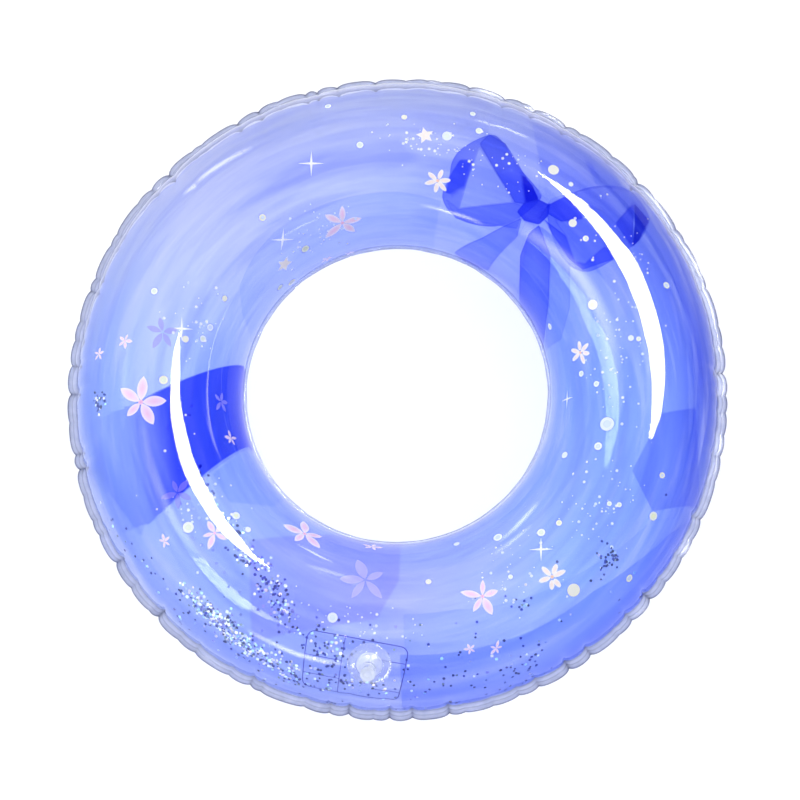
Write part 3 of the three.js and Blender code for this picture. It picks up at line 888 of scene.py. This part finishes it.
def make_flowers(ink):
    draw = random.Random(3)
    flowers = Print()
    for *spot, across, turn in PINK_FLOWERS:
        pointed_flower(flowers, spot, across, turn, "fbcfe2", "fff2f8", 0.94, draw)
        flowers.star_shape(spot, disc(across * 0.05), 0, "f4a8c4", "fbd0e0", 0.9, HEART_LIFT, steps=16)
    for *spot, across, turn in CREAM_FLOWERS:
        round_flower(flowers, spot, across, turn, draw)
        flowers.star_shape(spot, disc(across * 0.06), 0, "f6b890", "fcd8b8", 1.0, HEART_LIFT, steps=20)
    for *spot, across, turn, code in FAINT_FLOWERS:
        pointed_flower(flowers, spot, across, turn, code, code, 0.5, draw)
    flowers.build("printed_flowers", ink)


def make_stars(ink):
    stars = Print()
    for *spot, size in SPARKLES:
        stars.star_shape(spot, spikes(size / 2, 4, 0.12), 0, "ffffff", "ffffff", 0.95, steps=48)
    for *spot, size, turn in SMALL_STARS:
        stars.star_shape(spot, spikes(size / 2, 5, 0.5), math.radians(turn), "fff2dc", "fff8ea", 0.95)
    stars.build("printed_stars", ink)


def make_bubbles(ink):
    draw = random.Random(8)
    bubbles = Print()
    for *spot, size in BUBBLES:
        code = draw.choice(("f6fbe4", "f2f8ea", "eef6fb", "fbf9d8"))
        bubbles.star_shape(spot, disc(size * 0.5 + 0.5), 0, "6a80f4", "5c72ee", 0.5, 0.08, steps=24)
        bubbles.star_shape(spot, disc(size * 0.5), 0, code, code, 0.95, 0.13, steps=24)
        if draw.random() < 0.6:
            dim = draw.choice(("dfe8d8", "cfdcf4", "e8edc8"))
            bubbles.star_shape(spot, disc(size * 0.28), 0, dim, dim, 0.9, 0.17, steps=20)
    for azimuth, lean, wide, tall, count in DOT_DRIFTS:
        for _ in range(count):
            spot = (azimuth + draw.gauss(0, wide / 2), lean + draw.gauss(0, tall / 1.6))
            size = draw.choice(DOT_SIZES)
            code = draw.choice(DOT_CODES)
            bubbles.star_shape(spot, disc(size), 0, code, code, draw.uniform(0.6, 1.0), 0.13, steps=10)
    bubbles.build("printed_bubbles", ink)


LABEL_SPOT = (-98, 41)
LABEL_TURN = math.radians(-11)
LABEL_WIDE, LABEL_TALL, LABEL_CORNER = 100, 66, 8
LABEL_CODE = "2626a4"
LABEL_RULES = (  # both ends of each rule, as shares of the width and the height
    ((-0.13, 0.5), (-0.13, -0.5)),
    ((-0.5, 0.12), (-0.13, 0.12)),
    ((-0.5, -0.2), (-0.13, -0.2)),
    ((0.22, 0.24), (0.5, 0.24)),
    ((0.24, -0.3), (0.5, -0.3)),
    ((-0.13, -0.24), (0.02, -0.24)),
)


def rounded_box(wide, tall, corner, steps):
    """Outline of a rectangle with round corners."""
    outline = []
    for cx, cy, start in ((1, 1, 0), (-1, 1, 90), (-1, -1, 180), (1, -1, 270)):
        for angle in np.radians(np.linspace(start, start + 90, steps)):
            x = cx * (wide / 2 - corner) + corner * math.cos(angle)
            outline.append((x, cy * (tall / 2 - corner) + corner * math.sin(angle)))
    return outline


def dense(path, step):
    """The same path with points no further apart than a step."""
    made = [path[0]]
    for a, b in zip(path[:-1], path[1:]):
        count = max(1, math.ceil(math.dist(a, b) / step))
        made += [(a[0] + (b[0] - a[0]) * k / count, a[1] + (b[1] - a[1]) * k / count)
                 for k in range(1, count + 1)]
    return made


def make_label(ink):
    """Plain ruled box round the valve, with no lettering in it."""
    label = Print()
    outline = rounded_box(LABEL_WIDE, LABEL_TALL, LABEL_CORNER, 7)
    border = turned(dense(outline + outline[:1], 1.5), LABEL_TURN)
    label.line(LABEL_SPOT, border, 0.9, LABEL_CODE, 0.95)
    for ends in LABEL_RULES:
        rule = dense([(x * LABEL_WIDE, y * LABEL_TALL) for x, y in ends], 2.0)
        label.line(LABEL_SPOT, turned(rule, LABEL_TURN), 0.75, LABEL_CODE, 0.85)
    label.build("printed_label_rules", ink)


# ---------------------------------------------------------------- foil flakes
def foil_material(name, attribute=None):
    """Foil coloured by an attribute, glowing in that colour by a second attribute as a painted glint, or
    clouded and not glowing where none is given.
    """
    shader = Shader(name)
    if attribute:
        colour = shader.attribute(attribute, "Color")
        glint_glow = shader.attribute("glint_glow")
    else:
        colour = shader.mix_colour(shader.noise(35, 1), opaque("3b3f9a"), opaque("c8d4ff"))
        glint_glow = 0.0
    # the emission below is a painted glint: the foil glows in its own colour
    foil = shader.node("ShaderNodeBsdfPrincipled", {
        "Base Color": colour,
        "Metallic": 0.25,
        "Roughness": 0.28,
        "Emission Color": colour,
        "Emission Strength": glint_glow,
    }).outputs[0]
    return shader.finish(foil)


FLAKE_DRIFTS = (  # azimuth, lean, spread in azimuth, spread in lean, count, share of dark flakes
    (-150, -16, 5, 2.5, 24, 0.6), (-138, -13, 6, 3, 36, 0.6), (-127, -5, 4, 5, 80, 0.65),
    (-120, 3, 4, 7, 56, 0.5), (-116, 14, 4, 6, 60, 0.55), (-127, 43, 5, 5, 230, 0.15),
    (-120, 50, 6, 5, 210, 0.2), (-111, 60, 6, 6, 80, 0.35), (-101, 30, 6, 10, 90, 0.6),
    (-100, 55, 7, 6, 46, 0.5), (-176, 43, 1.6, 4, 34, 0.8), (-41, 29, 2.4, 6, 40, 0.75),
    (-61, 16, 2, 4, 8, 0.8), (-67, 60, 3, 10, 28, 0.75), (-90, 50, 30, 16, 90, 0.6),
    (-140, 60, 14, 12, 40, 0.5), (-80, 20, 25, 20, 36, 0.6), (-85, 84, 30, 4, 34, 0.9),
)
VALVE_CLEAR_R = 17  # no flake lies under the valve
DRIFT_SPREAD = 0.7
LOWEST_LEAN, HIGHEST_LEAN = -1.2, math.radians(88)
FLAKE_RADII = (1.1, 1.8)
FLAKE_HALF = 0.08  # half a flake's thickness
FLAKE_TILT = 16  # most, in degrees
FLAKE_DEPTHS = (1.2, 2.4)  # under the film
# strongest glow of a bright flake, a painted glint
BRIGHTEST_GLINT_GLOW = 1.5
DARK_FOILS = ("101a6c", "1c2a8c", "0a1050", "2c3aa8")
BRIGHT_FOILS = ("ffffff", "f2fbd8", "dcd2f8", "c8f0f4", "ffecd0", "98a8c8", "7c8a80", "8c88c0")


def flake(azimuth, lean, radius, tilt, spin, depth):
    """Corners of one thin hexagonal flake close under the film, both faces."""
    centre = film_point(azimuth, lean, -depth)
    out = outward(azimuth, lean)
    side = np.array([-math.sin(azimuth), math.cos(azimuth), 0])
    other = np.cross(out, side)
    out = out + math.tan(tilt) * (side * math.cos(spin) + other * math.sin(spin))
    out /= np.linalg.norm(out)
    side = np.cross(other, out)
    side /= np.linalg.norm(side)
    other = np.cross(out, side)
    corners = []
    for half in (FLAKE_HALF, -FLAKE_HALF):
        for k in range(6):
            angle = spin + k * math.pi / 3
            corners.append(centre + radius * (side * math.cos(angle) + other * math.sin(angle)) + half * out)
    return corners


def make_flakes():
    draw = random.Random(21)
    points, faces, colours, glint_glows = [], [], [], []
    for azimuth, lean, wide, tall, count, dark in FLAKE_DRIFTS:
        for _ in range(count):
            aside = draw.gauss(0, wide * DRIFT_SPREAD)
            a, b = radians(azimuth + aside, lean + draw.gauss(0, tall * DRIFT_SPREAD))
            b = max(min(b, HIGHEST_LEAN), LOWEST_LEAN)
            start = len(points)
            tilt = math.radians(draw.uniform(0, FLAKE_TILT))
            radius = draw.uniform(*FLAKE_RADII)
            corners = flake(a, b, radius, tilt, draw.uniform(0, 6.3), draw.uniform(*FLAKE_DEPTHS))
            is_dark = draw.random() < dark
            code = draw.choice(DARK_FOILS if is_dark else BRIGHT_FOILS)
            # bright flakes glow a little in their own colour as a painted glint; dark ones do not
            glint_glow = 0.0 if is_dark else draw.uniform(0.0, BRIGHTEST_GLINT_GLOW)
            if np.hypot(*to_valve(corners).mean(0)[:2]) < VALVE_CLEAR_R:
                continue
            points += corners
            faces += [tuple(start + k for k in range(6)), tuple(start + 11 - k for k in range(6))]
            for k in range(6):
                n = (k + 1) % 6
                faces.append((start + k, start + 6 + k, start + 6 + n, start + n))
            colours += [linear(code)] * 12
            glint_glows += [glint_glow] * 12
    material = foil_material("foil_flakes", "foil")
    made = mesh_object("glitter_flakes", points, faces, material, "ring", smooth=False)
    set_colours(made, "foil", colours)
    set_numbers(made, "glint_glow", glint_glows)


# ---------------------------------------------------------------- valve
FLANGE_R = 22
FLANGE_IN_R = 13.2
FOOT_R = 12.9
STEM_R = 6.2
STEM_LOW = 3
STEM_TOP = 21
GAP = 0.3
TETHER_TURN = math.radians(-20)


def film_drop(x, y):
    """How far the film falls away from the plane that touches it at the valve."""
    around = CENTRE_R / math.sin(VALVE_LEAN) + TUBE_R
    return TUBE_R - np.sqrt(TUBE_R ** 2 - x * x) + y * y / (2 * around)


def turned_ring(profile, segments, closed=True):
    """Points and faces of a ring turned about the valve's axis."""
    angles = np.linspace(0, 2 * np.pi, segments, endpoint=False)
    points = [(r * math.cos(a), r * math.sin(a), z) for a in angles for r, z in profile]
    return points, grid_faces(segments, len(profile), close_columns=closed)


def lathe(name, profile, material, body, follow=None, segments=96):
    """Ring about the valve's axis; follow(radius) is how closely a point follows the film."""
    points, faces = turned_ring(profile, segments)
    points = np.array(points)
    if follow:
        share = np.array([follow(r) for r, _ in profile] * segments)
        points[:, 2] -= share * film_drop(points[:, 0], points[:, 1])
    return mesh_object(name, from_valve(points), faces, material, body)


def frosted_material(name, share):
    """Cloudy moulded vinyl; the share is how much of it is not see-through."""
    shader = Shader(name)
    colour = shader.mix_colour(shader.noise(220, 3), (0.72, 0.76, 0.88, 1), (0.95, 0.96, 0.98, 1))
    clear = shader.clear((0.93, 0.95, 0.97, 1))
    under = shader.mix_shader(share, clear, shader.lit(colour, 0.38, 0.35))
    grain = shader.bump(shader.noise(500, 2), 0.15, 0.0003)
    return shader.finish(shader.gloss_over(under, 0.04, 0.12, grain))


def make_valve():
    clear = frosted_material("clear_pvc_moulded", 0.2)
    frosted = frosted_material("frosted_pvc_moulded", 0.36)
    flange = lathe("valve_flange_moulded", [
        (FLANGE_IN_R, GAP), (FLANGE_R - 0.4, GAP), (FLANGE_R, GAP + 0.3), (FLANGE_R - 0.1, GAP + 0.8),
        (FLANGE_R - 0.7, GAP + 1.05), (FLANGE_R - 1.6, GAP + 0.9), (FLANGE_R - 2.2, GAP + 0.7),
        (FLANGE_IN_R + 1.6, GAP + 0.7), (FLANGE_IN_R + 0.9, GAP + 1.0), (FLANGE_IN_R, GAP + 1.0),
    ], clear, "ring", lambda radius: 1.0)
    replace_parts(flange, "valve_flange")
    make_bellows(frosted)
    make_stem(frosted)
    make_flap(frosted)
    make_cap(frosted)
    make_tether(frosted)


BEND_LOW, BEND_HIGH = 1.6, 8.6  # heights on the valve's axis; points at them are worked out in make_bellows but not used


def make_bellows(material):
    neck = STEM_R + GAP

    def follow(radius):
        return eased(min(max((radius - neck) / (FOOT_R - 1.5 - neck), 0), 1))

    profile = [
        (FOOT_R - 1.2, GAP), (FOOT_R, GAP), (FOOT_R, 1.5), (FOOT_R - 0.2, 2.2), (FOOT_R - 0.7, 2.6),
        (FOOT_R - 1.3, 2.4), (FOOT_R - 1.9, 2.7), (FOOT_R - 2.6, 3.5), (neck + 2.9, 4.6), (neck + 2.2, 5.6),
        (neck + 1.5, 7.0), (neck + 1.1, 8.2), (neck + 0.8, 9.4), (neck, 9.4), (neck + 0.2, 8.0),
        (neck + 0.7, 6.6), (neck + 1.3, 5.2), (FOOT_R - 3.2, 2.9), (FOOT_R - 2.0, 1.7),
    ]
    bellows = lathe("valve_bellows_moulded", profile, material, None, follow)
    start = Vector(from_valve([(0, 0, BEND_LOW)])[0] * MM)
    end = Vector(from_valve([(0, 0, BEND_HIGH)])[0] * MM)
    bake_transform(bellows)
    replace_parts(bellows, "valve_bellows")


def make_stem(material):
    lip, bore = 7.2, 3.7
    stem = lathe("valve_stem_moulded", [
        (bore, STEM_LOW), (STEM_R - 0.4, STEM_LOW), (STEM_R, STEM_LOW + 0.4), (STEM_R, STEM_TOP - 1.6),
        (STEM_R + 0.4, STEM_TOP - 1.45), (lip, STEM_TOP - 1.1), (lip, STEM_TOP - 0.5),
        (lip - 0.2, STEM_TOP - 0.15), (lip - 0.6, STEM_TOP), (bore + 0.4, STEM_TOP), (bore, STEM_TOP - 0.3),
    ], material, "stem")
    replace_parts(stem, "valve_stem")


def turned_solid(profile, segments=72):
    """Points and faces of a solid turned about the valve's axis, from bottom centre to top centre."""
    points, faces = turned_ring(profile[1:-1], segments, closed=False)
    low, high = len(points), len(points) + 1
    points += [(0, 0, profile[0][1]), (0, 0, profile[-1][1])]
    count = len(profile) - 2
    for i in range(segments):
        k = (i + 1) % segments
        faces.append((low, k * count, i * count))
        faces.append((high, (i + 1) * count - 1, (k + 1) * count - 1))
    return points, faces


def soft_slab(outline, low, high, bevel=0.25):
    """Points and faces of a flat tab with softened edges; the outline is convex and listed in order."""
    outline = np.array(outline, float)
    middle = outline.mean(0)
    shrunk = outline - bevel * (outline - middle) / np.linalg.norm(outline - middle, axis=1)[:, None]
    levels = ((shrunk, low), (outline, low + bevel), (outline, high - bevel), (shrunk, high))
    points = [(x, y, z) for loop, z in levels for x, y in loop]
    count = len(outline)
    faces = [tuple(range(count))[::-1], tuple(range(3 * count, 4 * count))]
    for level in range(3):
        for i in range(count):
            k = (i + 1) % count
            low_i, low_k = level * count + i, level * count + k
            faces.append((low_i, low_k, low_k + count, low_i + count))
    return points, faces


def tab_outline(start, end, width, side=1):
    """Tab from the axis outwards along x with a round end."""
    half = width / 2
    arc = np.radians(np.linspace(-90, 90, 13))
    outline = [(start, -half)] + [(end - half + half * math.cos(a), half * math.sin(a)) for a in arc]
    outline.append((start, half))
    return [(side * x, side * y) for x, y in outline]


def joined(parts):
    """One list of points and one of faces from several."""
    points, faces = [], []
    for part_points, part_faces in parts:
        faces += [tuple(len(points) + i for i in face) for face in part_faces]
        points += list(part_points)
    return points, faces


SHARP_EDGE = math.radians(40)


def tethered(name, parts, material, body):
    """Piece given in the tether's frame, which is turned about the valve's axis."""
    points, faces = joined(parts)
    made = mesh_object(name, from_valve(turned(points, TETHER_TURN)), faces, material, body)
    modifier = made.modifiers.new("edges", "EDGE_SPLIT")
    modifier.split_angle = SHARP_EDGE
    return made


def make_flap(material):
    """Thin valve flap under the stem's inner end, a little domed, with the tab that it swings from."""
    radius, top, thick = 4.4, 2.7, 0.5
    disc_part = turned_solid([
        (0, top - thick), (radius - 1.2, top - thick), (radius - 0.2, top - thick + 0.08),
        (radius, top - thick / 2), (radius - 0.2, top - 0.06), (radius - 1.2, top), (0, top),
    ], 48)
    tab = soft_slab([(-5.1, -1.3), (-3.5, -1.5), (-3.5, 1.5), (-5.1, 1.3)], top - thick, top, 0.12)
    points, faces = joined([disc_part, tab])
    flap = mesh_object("valve_flap_moulded", from_valve(points), faces, material, "flap",
                       smooth=False)
    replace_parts(flap, "valve_check_flap")


CAP_R = 7.6
CAP_LOW = STEM_TOP + GAP
CAP_HIGH = CAP_LOW + 1.6
HINGE_X = 9.0
STRAP_T = 1.0
TAB_LOW = CAP_LOW + 0.2


def make_cap(material):
    """Stopper with a tapered plug, a dished top, a pull tab and the tab that its strap holds."""
    plug_end = CAP_LOW - 5
    body = turned_solid([
        (0, plug_end), (2.1, plug_end), (2.4, plug_end + 0.15), (2.5, plug_end + 0.5), (3.4, CAP_LOW),
        (CAP_R - 0.35, CAP_LOW), (CAP_R, CAP_LOW + 0.35), (CAP_R, CAP_HIGH - 0.4),
        (CAP_R - 0.15, CAP_HIGH - 0.12), (CAP_R - 0.5, CAP_HIGH), (CAP_R - 1.1, CAP_HIGH),
        (CAP_R - 1.5, CAP_HIGH - 0.35), (3.6, CAP_HIGH - 0.45), (3.2, CAP_HIGH - 0.1), (2.9, CAP_HIGH),
        (0, CAP_HIGH),
    ])
    hinge_tab = soft_slab(tab_outline(CAP_R - 1.2, HINGE_X, 4), TAB_LOW, TAB_LOW + STRAP_T)
    pull_tab = soft_slab(tab_outline(CAP_R - 1.2, CAP_R + 3.4, 5.5, -1), TAB_LOW, TAB_LOW + STRAP_T)
    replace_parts(tethered("valve_cap_moulded", [body, hinge_tab, pull_tab], material, "cap"), "valve_cap")


STRAP_WIDE = 4
STRAP_CORNER = 0.3
STRAP_ROUTE = ((7.2, 13.7), (8.9, 14.4), (9.6, 16.6), (9.0, 19.0), (HINGE_X - 0.5, 21.35))
COLLAR_LOW, COLLAR_HIGH = 12.5, 14.9


def strap_part():
    """Flat strap with round edges along its smooth route, in the plane of x and z."""
    route = np.array((STRAP_ROUTE[0],) + STRAP_ROUTE + (STRAP_ROUTE[-1],))
    line = np.array(smooth_line(route, 8) + [route[-1]])
    step = np.gradient(line, axis=0)
    across = np.stack([-step[:, 1], step[:, 0]], -1) / np.linalg.norm(step, axis=1)[:, None]
    section = rounded_box(STRAP_T, STRAP_WIDE, STRAP_CORNER, 4)
    points = [(x + u * nx, v, z + u * nz) for (x, z), (nx, nz) in zip(line, across) for u, v in section]
    count = len(section)
    faces = grid_faces(len(line), count, close_rows=False, close_columns=True)
    faces += [tuple(range(count)), tuple(range(len(points) - count, len(points)))[::-1]]
    return points, faces


def make_tether(material):
    """Collar on the stem and the strap that holds the cap at its bend."""
    inner = STEM_R + GAP
    outer = inner + 1.2
    collar = turned_ring([
        (inner, COLLAR_LOW), (outer - 0.3, COLLAR_LOW), (outer, COLLAR_LOW + 0.3),
        (outer, COLLAR_HIGH - 0.3), (outer - 0.3, COLLAR_HIGH), (inner, COLLAR_HIGH),
    ], 72)
    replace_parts(tethered("cap_tether_moulded", [collar, strap_part()], material, "stem"), "cap_tether")


# ---------------------------------------------------------------- camera, floor and light
KEY_STRENGTH = 2.15
KEY_DIRECTION = (0.3, -0.25, -1)
FILL_STRENGTH = 0.6
BACKDROP_STRENGTH = 1.1
SKY_BLEND = 0.6  # reflected sky goes from one side to the other between this and its opposite, along x
RIGHT_SKY = ((0.3, 0.38, 0.8), 0.5)
LEFT_SKY = ((0.85, 0.9, 1.0), 0.8)
VIEW_TURN, VIEW_TILT = radians(1.4, 13.3)
VIEW_DISTANCE = 4.4
VIEW_AIM = (3.0 * MM, -5.65 * MM)  # where the camera looks, right and up of the ring's middle
LENS = 197.6
SENSOR_WIDTH = 36
CLIP_END = 100
FLOOR_HALF = 30000
FLOOR_Z = -0.2


def camera_axes():
    back = Vector((math.sin(VIEW_TURN), -math.sin(VIEW_TILT), 0))
    back.z = math.sqrt(1 - back.length_squared)
    right = Vector((0, 1, 0)).cross(back).normalized()
    return right, back.cross(right), back


def make_camera():
    right, up, back = camera_axes()
    data = bpy.data.cameras.new("camera")
    data.lens = LENS
    data.sensor_width = SENSOR_WIDTH
    data.clip_end = CLIP_END
    camera = bpy.data.objects.new("camera", data)
    bpy.context.scene.collection.objects.link(camera)
    place = Vector((0, 0, MID_Z * MM)) + back * VIEW_DISTANCE + right * VIEW_AIM[0] + up * VIEW_AIM[1]
    camera.matrix_world = Matrix.Translation(place) @ Matrix((right, up, back)).transposed().to_4x4()
    bpy.context.scene.camera = camera
    return np.array(place) / MM


def make_floor():
    shader = Shader("floor_matte")
    tone = shader.mix_colour(shader.noise(3, 3), (0.93, 0.93, 0.935, 1), (0.95, 0.95, 0.955, 1))
    matte = shader.node("ShaderNodeBsdfDiffuse", {"Color": tone}).outputs[0]
    corners = [(x * FLOOR_HALF, y * FLOOR_HALF, FLOOR_Z) for x, y in ((-1, -1), (1, -1), (1, 1), (-1, 1))]
    mesh_object("floor", corners, [(0, 1, 2, 3)], shader.finish(matte))


def make_world():
    """White behind the ring, soft white light on it, and a blue-grey sky that only its gloss reflects."""
    shader = Shader("studio", "worlds")
    bpy.context.scene.world = shader.owner

    def sky(colour, strength):
        values = {"Color": (*colour, 1), "Strength": strength}
        return shader.node("ShaderNodeBackground", values).outputs[0]

    path = shader.node("ShaderNodeLightPath")
    place = shader.node("ShaderNodeTexCoord").outputs["Generated"]
    across = shader.node("ShaderNodeSeparateXYZ", {0: place}).outputs["X"]
    values = {"Value": across, "From Min": SKY_BLEND, "From Max": -SKY_BLEND}
    side = shader.node("ShaderNodeMapRange", values).outputs[0]
    reflected = shader.mix_shader(side, sky(*RIGHT_SKY), sky(*LEFT_SKY))
    light = shader.mix_shader(path.outputs["Is Glossy Ray"], sky((1, 1, 1), FILL_STRENGTH), reflected)
    seen = shader.mix_shader(path.outputs["Is Camera Ray"], light, sky((1, 1, 1), BACKDROP_STRENGTH))
    shader.finish(seen, "ShaderNodeOutputWorld")


def make_key_light():
    """Even studio light from above and a little to the left, shadowless like a large soft box."""
    data = bpy.data.lights.new("key", "SUN")
    data.energy = KEY_STRENGTH
    data.use_shadow = False
    key = bpy.data.objects.new("key", data)
    bpy.context.scene.collection.objects.link(key)
    key.rotation_euler = Vector(KEY_DIRECTION).to_track_quat("-Z", "Y").to_euler()
    key.visible_glossy = False


def glow_material(strength):
    shader = Shader("panel_glow")
    amount = shader.math("MULTIPLY", shader.attribute("glow"), strength)
    glow = shader.node("ShaderNodeEmission", {"Color": WHITE, "Strength": amount}).outputs[0]
    return shader.finish(glow)


def reflected_only(card):
    for ray in ("camera", "diffuse", "shadow", "transmission", "volume_scatter"):
        setattr(card, f"visible_{ray}", False)


def reflected_panel(name, rows, height, strength, eye):
    """Panel that the tube mirrors to the eye at rows of (azimuth, lean, glow)."""
    points, glows = [], []
    for azimuth, lean, glow in (place for row in rows for place in row):
        a, b = radians(azimuth, lean)
        spot = round_axis(CENTRE_R + TUBE_R * math.sin(b), a, MID_Z + TUBE_R * math.cos(b))
        out = outward(a, b)
        ray = (spot - eye) / np.linalg.norm(spot - eye)
        ray -= 2 * (ray @ out) * out
        points.append(spot + ray * (height - spot[2]) / ray[2])
        glows.append(glow)
    faces = grid_faces(len(rows), len(rows[0]), close_rows=False)
    panel = mesh_object(name, points, faces, glow_material(strength))
    set_numbers(panel, "glow", glows)
    reflected_only(panel)


RIGHT_GLINT = (  # azimuth, inner lean, outer lean
    (-14.5, 12.9, 15.6), (-9.5, 12, 18.2), (-4.5, 10.3, 18.6), (0, 9.3, 19.2), (5, 8.4, 19.7),
    (10, 7.4, 19.1),
    (15.5, 6.8, 18.6), (21, 6.3, 18.6), (26, 6, 18.8), (31, 5.9, 16.6), (36, 6.1, 15.2), (41.5, 6.4, 14),
    (47, 6.5, 11.3), (55, 8.2, 8.8),
)
LEFT_GLINT = (
    (168.5, -14.4, -13.5), (174, -16.6, -12.5), (180, -18, -11.8), (185.5, -17.5, -10.7), (191, -17.8, -9.5),
    (196.5, -17.4, -8.4), (201.5, -17, -7.3), (207, -16.2, -6.3), (212, -15.4, -6), (217.5, -13.5, -5.2),
    (222.5, -12.5, -4.7), (227.5, -11.2, -4.9), (232.5, -8.5, -5.1), (238, -7.2, -6.8),
)


def glint_rows(table):
    """Hard-edged panel rows, from one edge of a glint to the other."""
    shares = (0, 0.25, 0.5, 0.75, 1)
    return [[(a, low + (high - low) * s, 1.0) for a, low, high in table] for s in shares]


def soft_rows(line, half_width):
    """Rows of a soft streak along a line of places, brightest in the middle and fading at its ends."""
    shares = np.linspace(0, len(line) - 1, 25)
    azimuths, leans = (np.interp(shares, np.arange(len(line)), values) for values in zip(*line))
    taper = np.sin(np.pi * shares / shares[-1]) ** 0.8
    rows = []
    for step in np.linspace(-1, 1, 9):
        rows.append(list(zip(azimuths, leans + step * half_width, taper * (1 - step * step) ** 2)))
    return rows


def flag(name, low, high, height):
    """Black card, seen only in reflections, that keeps a panel from showing a second time in the tube."""
    (x0, y0), (x1, y1) = low, high
    corners = [(x0, y0, height), (x1, y0, height), (x1, y1, height), (x0, y1, height)]
    reflected_only(mesh_object(name, corners, [(0, 1, 2, 3)], glow_material(0.0)))


NEAR, MIDWAY, FAR = 250, 420, 1600  # heights of the panels
GLINT_STRENGTH = 60
SOFT_STREAKS = (  # name, line along the tube, half width in degrees, panel height, strength
    ("right_inner_panel", ((52, -30), (46, -28), (38, -24), (29, -20.5), (18, -18), (5, -16), (-12, -13)),
     7, NEAR, 16),
    ("upper_left_panel", ((138, 33), (132, 31.5), (127, 29.5), (120, 27)), 3.2, FAR, 20),
    ("upper_right_panel", ((73, 26), (69, 27.5), (65, 28.5), (61, 29)), 1.6, FAR, 22),
    ("bottom_left_panel", ((-120, 38), (-115, 38.5), (-109, 39), (-103, 38.5), (-98, 38)), 2.6, FAR, 24),
    ("bottom_right_panel", ((-62, -24), (-57, -25), (-52, -26), (-48, -26)), 2, NEAR, 12),
    ("inner_left_panel", ((-115, -21), (-110, -22), (-105, -22), (-101, -21)), 2, NEAR, 12),
    ("left_outer_panel", ((-171, 9), (-164, 11), (-154, 13), (-146, 15), (-138, 15), (-126, 12)),
     5, FAR, 9),
)


def make_reflections(eye):
    reflected_panel("right_glint_panel", glint_rows(RIGHT_GLINT), FAR, GLINT_STRENGTH, eye)
    reflected_panel("left_glint_panel", glint_rows(LEFT_GLINT), MIDWAY, GLINT_STRENGTH, eye)
    flag("flag_above", (-110, -110), (150, 240), MIDWAY + 20)
    flag("flag_below", (-50, -45), (80, 140), NEAR + 40)
    for name, line, half_width, height, strength in SOFT_STREAKS:
        reflected_panel(name, soft_rows(line, half_width), height, strength, eye)


# ---------------------------------------------------------------- build
eye_point = make_camera()
make_floor()
make_world()
make_key_light()
make_reflections(eye_point)
make_upper_film()
make_lower_film()
make_outer_seam()
make_inner_seam()
ink_finish = ink_material()
for make_print in (make_flowers, make_stars, make_bubbles, make_label):
    make_print(ink_finish)
make_flakes()
loose_foil = foil_material("foil_loose")
for node_name, node in frame["nodes"].items():
    if node_name.startswith("sequin"):
        node.data.materials[0] = loose_foil
make_valve()

bpy.context.scene.view_settings.view_transform = "Standard"
bpy.context.scene.cycles.transparent_max_bounces = 24
bpy.context.view_layer.update()
